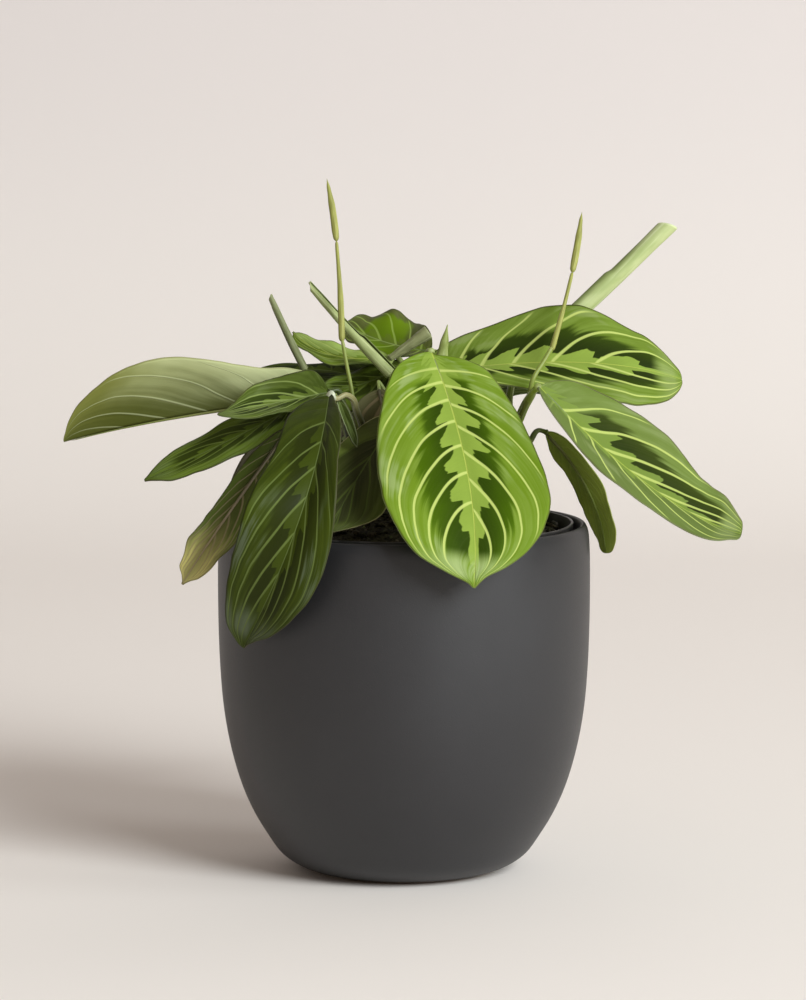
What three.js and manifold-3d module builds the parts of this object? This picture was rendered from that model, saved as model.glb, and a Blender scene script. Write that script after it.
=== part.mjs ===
// A potted prayer plant (maranta) in a grower's pot, standing in a round charcoal ceramic pot.
// Millimetres, +Z up, front towards -Y. The origin is the middle of the pot's underside.

import * as THREE from 'three';
import { mergeVertices } from 'three/addons/utils/BufferGeometryUtils.js';
import Module from 'manifold-3d';

const wasm = await Module();
wasm.setup();

// Driving dimensions
const POT_FOOT_RADIUS = 38.5;
const POT_RADIUS = 83.1;
const POT_RIM_RADIUS = 80.4;
const POT_HEIGHT = 156;
const POT_WALL = 5;
const POT_FLOOR = 8;
const GROWER_RIM_RADIUS = 75.6;
const GROWER_BASE_RADIUS = 48;
const GROWER_TOP = 156.5;
const GROWER_WALL = 1.2;
const SOIL_EDGE = 150;
const SOIL_CROWN = 162;
const SEAT_GAP = 0.3;
const BLADE_THICKNESS = 0.9;
const STEM_DEPTH = 125;
const STEM_RADIUS = 3;
const PETIOLE_RADIUS = 1.5;
const STALK_RADIUS = 0.9;

// Facets
const ROUND_SIDES = 40;
const STEM_SIDES = 6;
const BLADE_ROWS = 14;
const BLADE_COLUMNS = 6;

const COLOURS = {
  charcoal: 0x3b3a3b,
  blackPlastic: 0x1b1b1a,
  soil: 0x2b221b,
  lime: 0x86ab35,
  green: 0x5f8430,
  dark: 0x35491f,
  olive: 0x5a5a36,
  pale: 0x8ca065,
  stem: 0x6f8140,
  rolled: 0xa9bd84,
};

const plant = new THREE.Group();
plant.name = 'potted_prayer_plant';

function at(x, y, z) {
  return new THREE.Vector3(x, y, z);
}

function addMesh(name, geometry, colour, roughness) {
  const material = new THREE.MeshStandardMaterial({ color: colour, roughness, metalness: 0 });
  const mesh = new THREE.Mesh(geometry, material);
  mesh.name = name;
  plant.add(mesh);
  return mesh;
}

// Joining and cutting closed geometries
function toSolid(geometry) {
  const bare = geometry.clone();
  bare.deleteAttribute('normal');
  bare.deleteAttribute('uv');
  const merged = mergeVertices(bare, 1e-4);
  return new wasm.Manifold(new wasm.Mesh({
    numProp: 3,
    vertProperties: new Float32Array(merged.attributes.position.array),
    triVerts: new Uint32Array(merged.index.array),
  }));
}

function toGeometry(solid) {
  const mesh = solid.getMesh();
  const geometry = new THREE.BufferGeometry();
  geometry.setAttribute('position', new THREE.BufferAttribute(mesh.vertProperties, 3));
  geometry.setIndex(new THREE.BufferAttribute(mesh.triVerts, 1));
  geometry.computeVertexNormals();
  return geometry;
}

function joined(geometries) {
  let solid = toSolid(geometries[0]);
  for (const geometry of geometries.slice(1)) {
    solid = solid.add(toSolid(geometry));
  }
  return toGeometry(solid);
}

// Round pieces: a profile of [radius, height] turned about Z
function turned(profile, sides) {
  const points = profile.map(([radius, height]) => new THREE.Vector2(radius, height));
  const geometry = new THREE.LatheGeometry(points, sides);
  geometry.rotateX(Math.PI / 2);
  return geometry;
}

// A stem or petiole: a round section carried along a smooth curve
function tube(points, radius, steps) {
  const section = new THREE.Shape();
  for (let side = 0; side < STEM_SIDES; side += 1) {
    const angle = (2 * Math.PI * side) / STEM_SIDES;
    const x = radius * Math.cos(angle);
    const y = radius * Math.sin(angle);
    if (side === 0) {
      section.moveTo(x, y);
    } else {
      section.lineTo(x, y);
    }
  }
  const path = new THREE.CatmullRomCurve3(points, false, 'centripetal');
  return new THREE.ExtrudeGeometry(section, { steps: steps ?? points.length * 2, extrudePath: path });
}

// A straight round piece between two points, with a profile of [radius, share of the length]
function turnedAlong(start, end, profile, sides) {
  const axis = end.clone().sub(start);
  const length = axis.length();
  const geometry = turned(profile.map(([radius, share]) => [radius, share * length]), sides);
  const turn = new THREE.Quaternion().setFromUnitVectors(at(0, 0, 1), axis.normalize());
  geometry.applyQuaternion(turn);
  geometry.translate(start.x, start.y, start.z);
  return geometry;
}

// The share of the midrib's length at which a row of a blade crosses it.
// Rows lie closer together towards the base and tip, where the outline turns.
function rowShare(row) {
  return (1 - Math.cos((Math.PI * row) / BLADE_ROWS)) / 2;
}

// One point of a blade's middle surface, in a row and at a share t from margin to margin (-1 to 1)
function bladePoint(leaf, row, t) {
  const s = rowShare(row);
  const { base, mid, tip } = leaf;
  const rib = base.clone().multiplyScalar((1 - s) * (1 - 2 * s))
    .addScaledVector(mid, 4 * s * (1 - s))
    .addScaledVector(tip, s * (2 * s - 1));
  const along = base.clone().multiplyScalar(4 * s - 3)
    .addScaledVector(mid, 4 - 8 * s)
    .addScaledVector(tip, 4 * s - 1)
    .normalize();
  const side = along.clone().cross(leaf.face).normalize();
  const up = side.clone().cross(along);
  const half = t < 0 ? 0 : 1;
  const widths = leaf.halves[half];
  const reach = Math.abs(t) * widths[row];
  const fold = THREE.MathUtils.degToRad(leaf.fold[half]);
  const curl = THREE.MathUtils.degToRad(leaf.curl[half]) / Math.max(...widths);
  const angle = fold + (curl * reach) / 2;
  const ripple = Math.sin(2 * Math.PI * (leaf.waves * s + leaf.phase[half]));
  const lift = leaf.waveHeight * t * t * ripple * Math.sin(Math.PI * s) ** 0.7;
  return rib
    .addScaledVector(side, Math.sign(t) * reach * Math.cos(angle))
    .addScaledVector(up, reach * Math.sin(angle) + lift);
}

// A blade is a closed sheet: the middle surface moved half its thickness to each side
function bladeGeometry(leaf) {
  const columns = BLADE_COLUMNS + 1;
  const rows = BLADE_ROWS + 1;
  const surface = [];
  for (let row = 0; row < rows; row += 1) {
    for (let column = 0; column < columns; column += 1) {
      surface.push(bladePoint(leaf, row, (2 * column) / BLADE_COLUMNS - 1));
    }
  }
  const point = (row, column) => surface[row * columns + column];
  const positions = [];
  for (const sideSign of [1, -1]) {
    for (let row = 0; row < rows; row += 1) {
      for (let column = 0; column < columns; column += 1) {
        const along = point(Math.min(row + 1, rows - 1), column)
          .clone().sub(point(Math.max(row - 1, 0), column));
        const across = point(row, Math.min(column + 1, columns - 1))
          .clone().sub(point(row, Math.max(column - 1, 0)));
        const normal = across.cross(along).normalize();
        const placed = point(row, column).clone()
          .addScaledVector(normal, (sideSign * BLADE_THICKNESS) / 2);
        positions.push(placed.x, placed.y, placed.z);
      }
    }
  }
  const under = rows * columns;
  const index = [];
  for (let row = 0; row < BLADE_ROWS; row += 1) {
    for (let column = 0; column < BLADE_COLUMNS; column += 1) {
      const a = row * columns + column;
      const b = a + columns;
      const c = b + 1;
      const d = a + 1;
      index.push(a, d, c, a, c, b);
      index.push(under + a, under + c, under + d, under + a, under + b, under + c);
    }
  }
  const wall = (from, to) => {
    index.push(from, under + from, under + to, from, under + to, to);
  };
  for (let column = 0; column < BLADE_COLUMNS; column += 1) {
    wall(column, column + 1);
    wall(BLADE_ROWS * columns + column + 1, BLADE_ROWS * columns + column);
  }
  for (let row = 0; row < BLADE_ROWS; row += 1) {
    wall((row + 1) * columns, row * columns);
    wall(row * columns + BLADE_COLUMNS, (row + 1) * columns + BLADE_COLUMNS);
  }
  const geometry = new THREE.BufferGeometry();
  geometry.setAttribute('position', new THREE.Float32BufferAttribute(positions, 3));
  geometry.setIndex(index);
  geometry.computeVertexNormals();
  return geometry;
}

// The ceramic pot: a small flat foot, a full round belly and a soft rolled rim
const potProfile = [
  [0, 0],
  [POT_FOOT_RADIUS, 0],
  [48, 3],
  [55.5, 8],
  [61.3, 16],
  [67.3, 26],
  [72.6, 38],
  [77.3, 54],
  [80.6, 72],
  [82.3, 92],
  [POT_RADIUS, 120],
  [82.8, 147],
  [82, 153.5],
  [POT_RIM_RADIUS, POT_HEIGHT],
  [78.9, 155.2],
  [POT_RADIUS - POT_WALL, 151],
  [POT_RADIUS - POT_WALL, 110],
  [80.6 - POT_WALL, 72],
  [72.6 - POT_WALL, 38],
  [61.3 - POT_WALL, 16],
  [50.5, POT_FLOOR + 1],
  [47, POT_FLOOR],
  [0, POT_FLOOR],
];
addMesh('pot', turned(potProfile, ROUND_SIDES), COLOURS.charcoal, 0.7);

// The thin grower's pot, standing on the ceramic pot's floor, with a rim band
const growerFloor = POT_FLOOR + SEAT_GAP;
const bandRadius = GROWER_RIM_RADIUS - 1.2;
const growerProfile = [
  [0, growerFloor],
  [GROWER_BASE_RADIUS, growerFloor],
  [bandRadius, 144],
  [GROWER_RIM_RADIUS, 145],
  [GROWER_RIM_RADIUS, GROWER_TOP],
  [GROWER_RIM_RADIUS - GROWER_WALL, GROWER_TOP],
  [bandRadius - GROWER_WALL, 144],
  [GROWER_BASE_RADIUS - GROWER_WALL, growerFloor + GROWER_WALL],
  [0, growerFloor + GROWER_WALL],
];
addMesh('nursery_pot', turned(growerProfile, ROUND_SIDES), COLOURS.blackPlastic, 0.5);

// Three shoots rise from plain holes in the soil
const SHOOTS = {
  left: { x: -20, y: -6 },
  centre: { x: 5, y: 2 },
  right: { x: 38, y: 2 },
};

// The soil fills the grower's pot and is heaped a little above its rim
const soilWall = GROWER_WALL + SEAT_GAP + 0.1;
const soilProfile = [
  [0, growerFloor + soilWall],
  [GROWER_BASE_RADIUS - soilWall, growerFloor + soilWall],
  [bandRadius - soilWall, 144],
  [bandRadius - soilWall, SOIL_EDGE],
  [66, 156],
  [50, 159.5],
  [28, 161.2],
  [0, SOIL_CROWN],
];
let soil = toSolid(turned(soilProfile, ROUND_SIDES));
for (const shoot of Object.values(SHOOTS)) {
  const radius = STEM_RADIUS + SEAT_GAP;
  const hole = new THREE.CylinderGeometry(radius, radius, 60, STEM_SIDES * 2);
  hole.rotateX(Math.PI / 2);
  hole.translate(shoot.x, shoot.y, STEM_DEPTH - SEAT_GAP + 30);
  soil = soil.subtract(toSolid(hole));
}
addMesh('soil', toGeometry(soil), COLOURS.soil, 1);

// The half-widths of a plain oval blade half, in the same rows
function oval(width) {
  const shares = [0.02, 0.25, 0.46, 0.64, 0.79, 0.9, 0.97, 1, 0.97, 0.89, 0.76, 0.58, 0.34, 0.1, 0.02];
  return shares.map((share) => share * width);
}

// Leaf blades. Each has its midrib (base, mid, tip), the way its upper face looks, the folds and
// curls of its two halves, its margin's wave, and the half-widths of both halves row by row.
const LEAVES = {
  leaf_front: {
    colour: COLOURS.lime,
    base: at(12, -22, 234.1), mid: at(27.4, -66, 185.1), tip: at(29.7, -99, 139.9),
    face: at(0.05, -0.85, 0.52), fold: [1, 18], curl: [-16, -12],
    waveHeight: 1.8, waves: 1.5, phase: [0.25, 0.18],
    arrive: at(0.3, -0.95, 0),
    halves: [
      [0.5, 1.2, 11.2, 20.7, 24.7, 28.8, 31.5, 33.9, 34.7, 31, 23.9, 14.1, 4.6, 1.5, 0.5],
      [0.5, 9.5, 18.6, 25, 30.5, 35.5, 38.7, 40.2, 40, 37.2, 32.5, 25.9, 13.5, 2.2, 0.5],
    ],
  },
  leaf_right_upper: {
    colour: COLOURS.lime,
    base: at(8.9, 6, 221.9), mid: at(75, -6, 228), tip: at(123.6, 2, 219.6),
    face: at(0.05, -0.75, 0.66), fold: [4, 20], curl: [-6, -19],
    waveHeight: 1.7, waves: 2, phase: [0.25, 0.92],
    halves: [
      [0.5, 7.5, 13, 17.8, 22, 27.2, 30.6, 30.4, 27.4, 22.6, 18.6, 12.2, 7, 3.9, 0.5],
      [0.5, 4, 7.5, 10.5, 13, 15.6, 18.6, 22.4, 25.1, 25.2, 22.3, 18, 11.6, 4.8, 0.5],
    ],
  },
  leaf_right_lower: {
    colour: COLOURS.lime,
    base: at(59, -37, 220), mid: at(107, -57, 178.1), tip: at(145.7, -66, 158.7),
    face: at(0.45, -0.72, 0.5), fold: [13, 40], curl: [-20, -22],
    waveHeight: 1.4, waves: 2, phase: [0.4, 0.3],
    halves: [
      [0.5, 8, 15.5, 20.7, 26, 28.3, 27.5, 24.4, 21, 18.2, 16, 11.8, 8.2, 5.5, 0.5],
      [0.5, 5, 11, 15.5, 18.4, 22.1, 25.1, 25, 22.5, 20.9, 20.3, 16.9, 11, 7.5, 0.5],
    ],
  },
  leaf_right_small: {
    colour: COLOURS.olive,
    base: at(64, 12, 195), mid: at(83, 10, 169), tip: at(91, 8, 141),
    face: at(0.7, 0.6, 0.4), fold: [9, 9], curl: [-10, -10],
    waveHeight: 0.8, waves: 2, phase: [0.45, 0.25],
    halves: [
      [0.5, 2.8, 5.3, 8.6, 10.2, 10.2, 11.6, 11.5, 10.2, 9.8, 8.8, 6.6, 5.4, 3.6, 0.5],
      [0.5, 2.4, 4.6, 6.8, 8.2, 9.5, 9.4, 9.4, 8.7, 8.8, 8.6, 6.8, 4.8, 3, 0.5],
    ],
  },
  leaf_front_left: {
    colour: COLOURS.dark,
    base: at(-32.6, -36, 216), mid: at(-44.3, -84, 168.6), tip: at(-69.6, -62, 108.8),
    face: at(-0.62, -0.75, 0.22), fold: [1, 45], curl: [-25, -16],
    waveHeight: 2, waves: 2, phase: [0.5, 0.2],
    halves: [
      [0.5, 2.5, 4.3, 7.4, 9.6, 11.6, 15, 17, 18.2, 18.8, 16, 10.9, 4.4, 1, 0.5],
      [0.5, 6.9, 13.2, 17.1, 18.9, 20.7, 22.1, 22.4, 22.4, 22.5, 20.1, 16, 11.4, 4.6, 0.5],
    ],
  },
  leaf_left_pale: {
    colour: COLOURS.pale,
    base: at(-35, 4, 212), mid: at(-99, -4, 204), tip: at(-151, -8, 193),
    face: at(-0.1, 0.1, 1), fold: [64, 60], curl: [-9, -11],
    waveHeight: 1.5, waves: 2, phase: [0.1, 0.35],
    halves: [
      [0.5, 8.5, 12.5, 15.5, 17.6, 22.8, 27.8, 29.5, 29.1, 28, 23.2, 16.8, 9.4, 3, 0.5],
      [0.5, 8, 11.5, 14.2, 16.5, 21.5, 26, 28.2, 28.4, 27, 22.2, 15.8, 8.8, 2.8, 0.5],
    ],
  },
  leaf_left_upper: {
    colour: COLOURS.green,
    base: at(-32.89, -16, 215.65), mid: at(-57.5, -28, 211.69), tip: at(-80.92, -46, 208.61),
    face: at(-0.1, -0.55, 0.8), fold: [13, 19], curl: [-15, -12],
    waveHeight: 1.6, waves: 2, phase: [0.05, 0],
    halves: [
      [0.5, 1.2, 2.2, 3.6, 5, 6.2, 7.6, 9.4, 10.6, 9.6, 7.7, 6.2, 4.9, 3.2, 0.5],
      [0.5, 9, 13.5, 14.4, 14, 15.2, 15.8, 13.4, 10.4, 7.8, 5.2, 3, 1.6, 1, 0.5],
    ],
  },
  leaf_left_middle: {
    colour: COLOURS.dark,
    base: at(-40, -12, 214), mid: at(-69, -24, 199), tip: at(-114, -30, 178),
    face: at(-0.2, -0.6, 0.75), fold: [7, 12], curl: [-29, -28],
    waveHeight: 1.2, waves: 3, phase: [0.15, 0.6],
    halves: [
      [0.5, 2.4, 4.6, 6.6, 8.2, 9.2, 9.4, 9.4, 9.7, 10.3, 8, 6.9, 3.8, 1.2, 0.5],
      [0.5, 2.6, 5, 7, 8.6, 9.8, 10.6, 11.1, 12, 11.9, 9.8, 7, 4.1, 1.4, 0.5],
    ],
  },
  leaf_left_brown: {
    colour: COLOURS.olive,
    base: at(-48, -4, 202), mid: at(-77, -36, 163.5), tip: at(-97, -44, 134),
    face: at(0.6, 0.75, 0.3), fold: [5, 11], curl: [-30, -29],
    waveHeight: 1, waves: 2, phase: [0.35, 0.15],
    halves: [
      [0.5, 2.3, 4.6, 6.9, 8.4, 8.8, 9, 8.9, 8.3, 9, 7, 6, 2.4, 0.6, 0.5],
      [0.5, 2.4, 4.6, 6.6, 8.2, 9.4, 10.4, 11, 11, 8.8, 7.6, 5.3, 2.2, 0.8, 0.5],
    ],
  },
  leaf_top_left: {
    colour: COLOURS.green,
    base: at(-7, 18, 228), mid: at(-33, 22, 229), tip: at(-50, 27, 239),
    face: at(0.1, -0.6, 0.8), fold: [13, 3], curl: [16, -20],
    waveHeight: 1.6, waves: 2, phase: [-0.15, 0.15],
    halves: [
      [0.5, 2.2, 4.3, 6.1, 7.6, 8.5, 8.9, 9, 8.6, 7.8, 6.6, 4.9, 2.5, 0.5, 0.5],
      [0.5, 2.4, 4.6, 6.4, 7.8, 8.7, 9, 8.9, 8.4, 7.6, 6.4, 4.7, 2.4, 0.5, 0.5],
    ],
  },
  leaf_top_back: {
    colour: COLOURS.green,
    base: at(12, 28, 230), mid: at(-10, 37, 234), tip: at(-27, 44, 241.5),
    face: at(0.1, -0.72, 0.68), fold: [12, 6], curl: [10, -18],
    waveHeight: 3.6, waves: 1.5, phase: [0, 0.58],
    halves: [
      [0.5, 2.7, 5.3, 7.6, 9.5, 10.9, 11.8, 12, 11.6, 10.5, 8.9, 6.6, 3.4, 0.5, 0.5],
      [0.5, 4.5, 8.7, 12.4, 15.5, 17.7, 18.8, 18.9, 18, 16.3, 13.6, 10, 5.1, 0.5, 0.5],
    ],
  },
  leaf_centre_low: {
    colour: COLOURS.dark,
    base: at(-3, -24, 206), mid: at(-22, -48, 178), tip: at(-32, -68, 159),
    face: at(-0.2, -0.7, 0.7), fold: [9, 10], curl: [-28, -30],
    waveHeight: 1, waves: 2, phase: [0.4, 0.5],
    halves: [
      [0.5, 4.6, 8.9, 12.7, 15.6, 17.7, 18.8, 19, 18.6, 17.2, 14.7, 11, 5.7, 0.5, 0.5],
      [0.5, 4.6, 8.9, 12.7, 15.6, 17.7, 18.8, 19, 18.6, 17.2, 14.7, 11, 5.7, 0.5, 0.5],
    ],
  },
  leaf_back_left: {
    colour: COLOURS.green,
    base: at(-8, 16, 214), mid: at(-42, 50, 220), tip: at(-82, 86, 211),
    face: at(0.1, -0.3, 0.95), fold: [8, 8], curl: [-20, -20],
    waveHeight: 2, waves: 2, phase: [0, 0.5],
    halves: [oval(20), oval(20)],
  },
  leaf_back_left_low: {
    colour: COLOURS.dark,
    base: at(-6, 20, 198), mid: at(-52, 66, 184), tip: at(-78, 104, 134),
    face: at(-0.4, 0.5, 0.77), fold: [8, 8], curl: [-25, -25],
    waveHeight: 2, waves: 2, phase: [0.2, 0.7],
    halves: [oval(22), oval(22)],
  },
  leaf_back_centre: {
    colour: COLOURS.lime,
    base: at(4, 22, 198), mid: at(-4, 82, 188), tip: at(0, 128, 116),
    face: at(0, 0.7, 0.7), fold: [6, 8], curl: [-18, -18],
    waveHeight: 2, waves: 1.5, phase: [0.1, 0.6],
    halves: [oval(28), oval(28)],
  },
  leaf_back_right: {
    colour: COLOURS.green,
    base: at(20, 16, 206), mid: at(58, 56, 214), tip: at(98, 98, 204),
    face: at(0.2, 0.1, 0.97), fold: [8, 8], curl: [-22, -22],
    waveHeight: 2, waves: 2, phase: [0.3, 0.8],
    halves: [oval(23), oval(23)],
  },
  leaf_back_right_low: {
    colour: COLOURS.dark,
    base: at(18, 14, 190), mid: at(40, 72, 180), tip: at(54, 114, 128),
    face: at(0.3, 0.6, 0.74), fold: [8, 8], curl: [-25, -25],
    waveHeight: 1.6, waves: 2, phase: [0.1, 0.6],
    halves: [oval(18), oval(18)],
  },
};

// Young leaves, still rolled into tubes that open at their top. The radii are those at the foot,
// at a fifth and at four fifths of the length, and at the mouth.
const ROLLED = {
  rolled_leaf_right: { base: at(63.8, 30.2, 234.2), top: at(121.1, 46, 287), radii: [2.4, 4.1, 4, 4.2] },
  rolled_leaf_left: { base: at(-5.9, 4.3, 221.8), top: at(-43, 12, 262), radii: [3, 2.9, 2.1, 1.8] },
  rolled_leaf_small: { base: at(-44.4, 12.2, 223.4), top: at(-60, 10, 257), radii: [1.9, 1.9, 1.6, 1.3] },
};

// The buried and lower part of a shoot
function shootBase(shoot, top) {
  const stake = new THREE.CylinderGeometry(STEM_RADIUS, STEM_RADIUS, top - STEM_DEPTH, STEM_SIDES);
  stake.rotateX(Math.PI / 2);
  stake.translate(shoot.x, shoot.y, (STEM_DEPTH + top) / 2);
  return stake;
}

// The direction in which a blade or a rolled leaf leaves its petiole
function heading(leaf) {
  if (leaf.arrive) {
    return leaf.arrive.clone().normalize();
  }
  if (leaf.top) {
    return leaf.top.clone().sub(leaf.base).normalize();
  }
  return leaf.mid.clone().multiplyScalar(4)
    .addScaledVector(leaf.base, -3)
    .sub(leaf.tip)
    .normalize();
}

// A petiole ends square to its leaf, a seat's gap away from it
function petioleTo(leaf, points, radius = PETIOLE_RADIUS) {
  const direction = heading(leaf);
  const approach = leaf.base.clone().addScaledVector(direction, -4);
  const seat = leaf.base.clone().addScaledVector(direction, -SEAT_GAP);
  return tube([...points, approach, seat], radius, points.length + 4);
}

// Left shoot, with the petioles of the leaves that hang to the left
addMesh('shoot_left', joined([
  shootBase(SHOOTS.left, 166),
  tube([at(-20, -6, 160), at(-20, -7, 176), at(-19, -8, 191)], 2.6, 4),
  petioleTo(LEAVES.leaf_front_left, [
    at(-19, -8, 184), at(-18, -17, 201), at(-22, -26, 212), at(-30, -30, 219),
  ]),
  petioleTo(LEAVES.leaf_left_upper, [at(-20, -9, 182), at(-25, -11, 199)]),
  petioleTo(LEAVES.leaf_left_pale, [at(-20, -4, 184), at(-24, 1, 202)]),
  petioleTo(LEAVES.leaf_left_middle, [at(-20, -7, 180), at(-28, -8, 204)]),
  petioleTo(LEAVES.leaf_left_brown, [at(-20, -5, 174), at(-33, -2, 198)]),
  petioleTo(ROLLED.rolled_leaf_small, [at(-19.6, -6, 176), at(-27, 9, 204), at(-37, 13, 216)], 1.2),
]), COLOURS.stem, 0.6);

// Centre shoot, with a pointed new spear and a short rolled leaf at its top
addMesh('shoot_centre', joined([
  shootBase(SHOOTS.centre, 166),
  tube([at(5, 2, 160), at(5, 2, 180), at(5, 2, 198)], 2.8, 4),
  petioleTo(LEAVES.leaf_front, [at(6, 0, 186), at(8, -3, 212), at(9.5, -9, 228)], 1.7),
  petioleTo(LEAVES.leaf_right_upper, [at(5, 3, 190), at(2, 6, 210)], 1.7),
  petioleTo(LEAVES.leaf_centre_low, [at(5, 0, 186), at(2, -13, 204)]),
  petioleTo(LEAVES.leaf_top_back, [at(6, 5, 194), at(14, 15, 217)], 1.3),
  petioleTo(LEAVES.leaf_top_left, [at(4, 5, 194), at(2, 13, 218)], 1.3),
  petioleTo(ROLLED.rolled_leaf_left, [at(4, 2, 190), at(1, 3, 210)], 1.8),
  petioleTo(LEAVES.leaf_back_left, [at(4, 5, 188), at(0, 10, 206)]),
  petioleTo(LEAVES.leaf_back_left_low, [at(4, 5, 178), at(0, 13, 193)]),
  petioleTo(LEAVES.leaf_back_centre, [at(5, 5, 180), at(5, 12, 193)]),
  petioleTo(LEAVES.leaf_back_right, [at(6, 5, 188), at(12, 10, 200)]),
  petioleTo(LEAVES.leaf_back_right_low, [at(6, 4, 172), at(12, 8, 185)]),
  tube([at(4, 4, 192), at(-3, 9, 213), at(-6.8, 10, 225.3), at(-4, 10.2, 230.3)], 1.2, 7),
  turnedAlong(at(-6.4, 9.8, 228.3), at(11, 12, 240), [
    [0, 0], [1.6, 0.02], [2, 0.3], [2.5, 1], [1.8, 1], [0, 0.8],
  ], 8),
  tube([at(7, 0, 190), at(12.6, -7, 212), at(15.6, -7, 224.5)], 1.8, 5),
  turnedAlong(at(15.3, -7, 222), at(19, -6, 243), [[0, 0], [1.9, 0], [3.1, 0.3], [1.9, 0.65], [0, 1]], 8),
]), COLOURS.stem, 0.6);

// Right shoot, which leans out, with the petioles of the right-hand leaves
addMesh('shoot_right', joined([
  shootBase(SHOOTS.right, 166),
  tube([at(38, 2, 160), at(40, 2, 176), at(45, 1, 192), at(47, 1, 205)], 2.5, 6),
  petioleTo(LEAVES.leaf_right_lower, [at(44, 1, 188), at(50, -4, 197), at(54, -14, 203), at(57, -24, 211)]),
  petioleTo(LEAVES.leaf_right_small, [at(43, 1, 182), at(55, 8, 189)], 1.2),
  petioleTo(ROLLED.rolled_leaf_right, [at(47, 1, 202), at(47, 4, 212), at(51, 16, 223)]),
]), COLOURS.stem, 0.6);

// Flower stalks: a thin stalk out of a longer sheath, ending in a narrow closed bract
function flowerStalk(lower, sheath, node, tip) {
  return joined([
    tube(lower, STALK_RADIUS, 6),
    turnedAlong(sheath, node, [[0, 0], [1, 0], [1.5, 0.06], [1.4, 0.6], [1.1, 1], [0, 1]], 8),
    turnedAlong(node, tip, [[0, -0.03], [1.1, -0.02], [1.7, 0.25], [1.2, 0.75], [0.3, 1], [0, 1]], 8),
  ]);
}

addMesh('flower_stalk_left', flowerStalk(
  [at(-18.8, -10.4, 194.8), at(-22.4, -9, 203), at(-25.2, -7, 214), at(-27.3, -2, 237)],
  at(-27.2, -2.3, 234.5),
  at(-29, 2, 273),
  at(-34, 6, 307),
), COLOURS.rolled, 0.55);
addMesh('flower_stalk_right', flowerStalk(
  [at(49, -2, 205), at(52, -11, 207), at(55, -20, 211), at(58, -25.5, 218), at(62.3, -23, 225.5),
    at(66.6, -17, 233)],
  at(66.3, -16.6, 231.6),
  at(75.8, 6, 270),
  at(79.4, 14, 294),
), COLOURS.rolled, 0.55);

for (const [name, leaf] of Object.entries(ROLLED)) {
  const [foot, lower, upper, mouth] = leaf.radii;
  const lip = mouth * 0.75;
  addMesh(name, turnedAlong(leaf.base, leaf.top, [
    [0, 0], [foot, 0], [lower, 0.2], [upper, 0.8], [mouth, 1], [lip, 1], [lip * 0.5, 0.86], [0, 0.82],
  ], 12), COLOURS.rolled, 0.5);
}

for (const [name, leaf] of Object.entries(LEAVES)) {
  addMesh(name, bladeGeometry(leaf), leaf.colour, 0.5);
}

export default plant;
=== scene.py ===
"""The looks of a potted prayer plant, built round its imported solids.

Sizes are given in millimetres, as in the solids' source, and turned to metres when a mesh is placed.
"""

import logging
import math
import random
from dataclasses import dataclass, field, replace
from enum import Enum
from typing import Callable, Optional, Union

import bpy
from mathutils import Euler, Matrix, Vector, noise


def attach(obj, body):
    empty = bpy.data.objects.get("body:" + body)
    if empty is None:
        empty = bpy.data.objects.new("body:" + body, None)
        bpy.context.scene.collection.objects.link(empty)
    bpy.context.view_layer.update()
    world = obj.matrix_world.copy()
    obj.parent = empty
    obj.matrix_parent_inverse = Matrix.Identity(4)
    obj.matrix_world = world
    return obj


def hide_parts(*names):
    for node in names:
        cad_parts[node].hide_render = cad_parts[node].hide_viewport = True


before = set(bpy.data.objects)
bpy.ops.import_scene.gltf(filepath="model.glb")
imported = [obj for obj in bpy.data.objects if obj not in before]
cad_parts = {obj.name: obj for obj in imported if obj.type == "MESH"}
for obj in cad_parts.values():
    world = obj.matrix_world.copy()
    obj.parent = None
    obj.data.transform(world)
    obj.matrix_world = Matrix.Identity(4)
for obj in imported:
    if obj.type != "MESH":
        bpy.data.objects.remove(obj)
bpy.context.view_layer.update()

log = logging.getLogger("prayer_plant")

MM = 0.001
BODY = "root"
MERGE_DISTANCE = 2e-6  # metres between points that are one
ROUND_ENDS = 24  # the higher it is, the shorter the rounded ends of a limb are
RIB_HALF_MM = (0.2, 0.55)  # where the painted midrib starts to fade at the base, and where it ends
MARGIN_MM = (0.25, 0.75)  # the same for the painted margin, measured from the edge
SEED_STEP = 1.37  # between the patterns of one blade and the next
FIRST_BLADE_SEED = 0.4
FIRST_CROWN_SEED = 30.4
Colour = tuple[float, float, float, float]
Place = Callable[[float, float], Vector]


def paint(code: str) -> Colour:
    """Turns a colour code into the linear colour that a shader takes.

    Args:
        code: Six hexadecimal digits, such as "86ab35".

    Returns:
        The colour, with an opacity of 1.
    """
    shares = [int(code[start:start + 2], 16) / 255 for start in (0, 2, 4)]
    linear = [s / 12.92 if s <= 0.04045 else ((s + 0.055) / 1.055) ** 2.4 for s in shares]
    return (linear[0], linear[1], linear[2], 1.0)


def eased(value: float, low: float, high: float) -> float:
    """Rises smoothly from 0 at low to 1 at high."""
    share = min(max((value - low) / (high - low), 0.0), 1.0)
    return share * share * (3 - 2 * share)


# ---------------------------------------------------------------- materials


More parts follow.
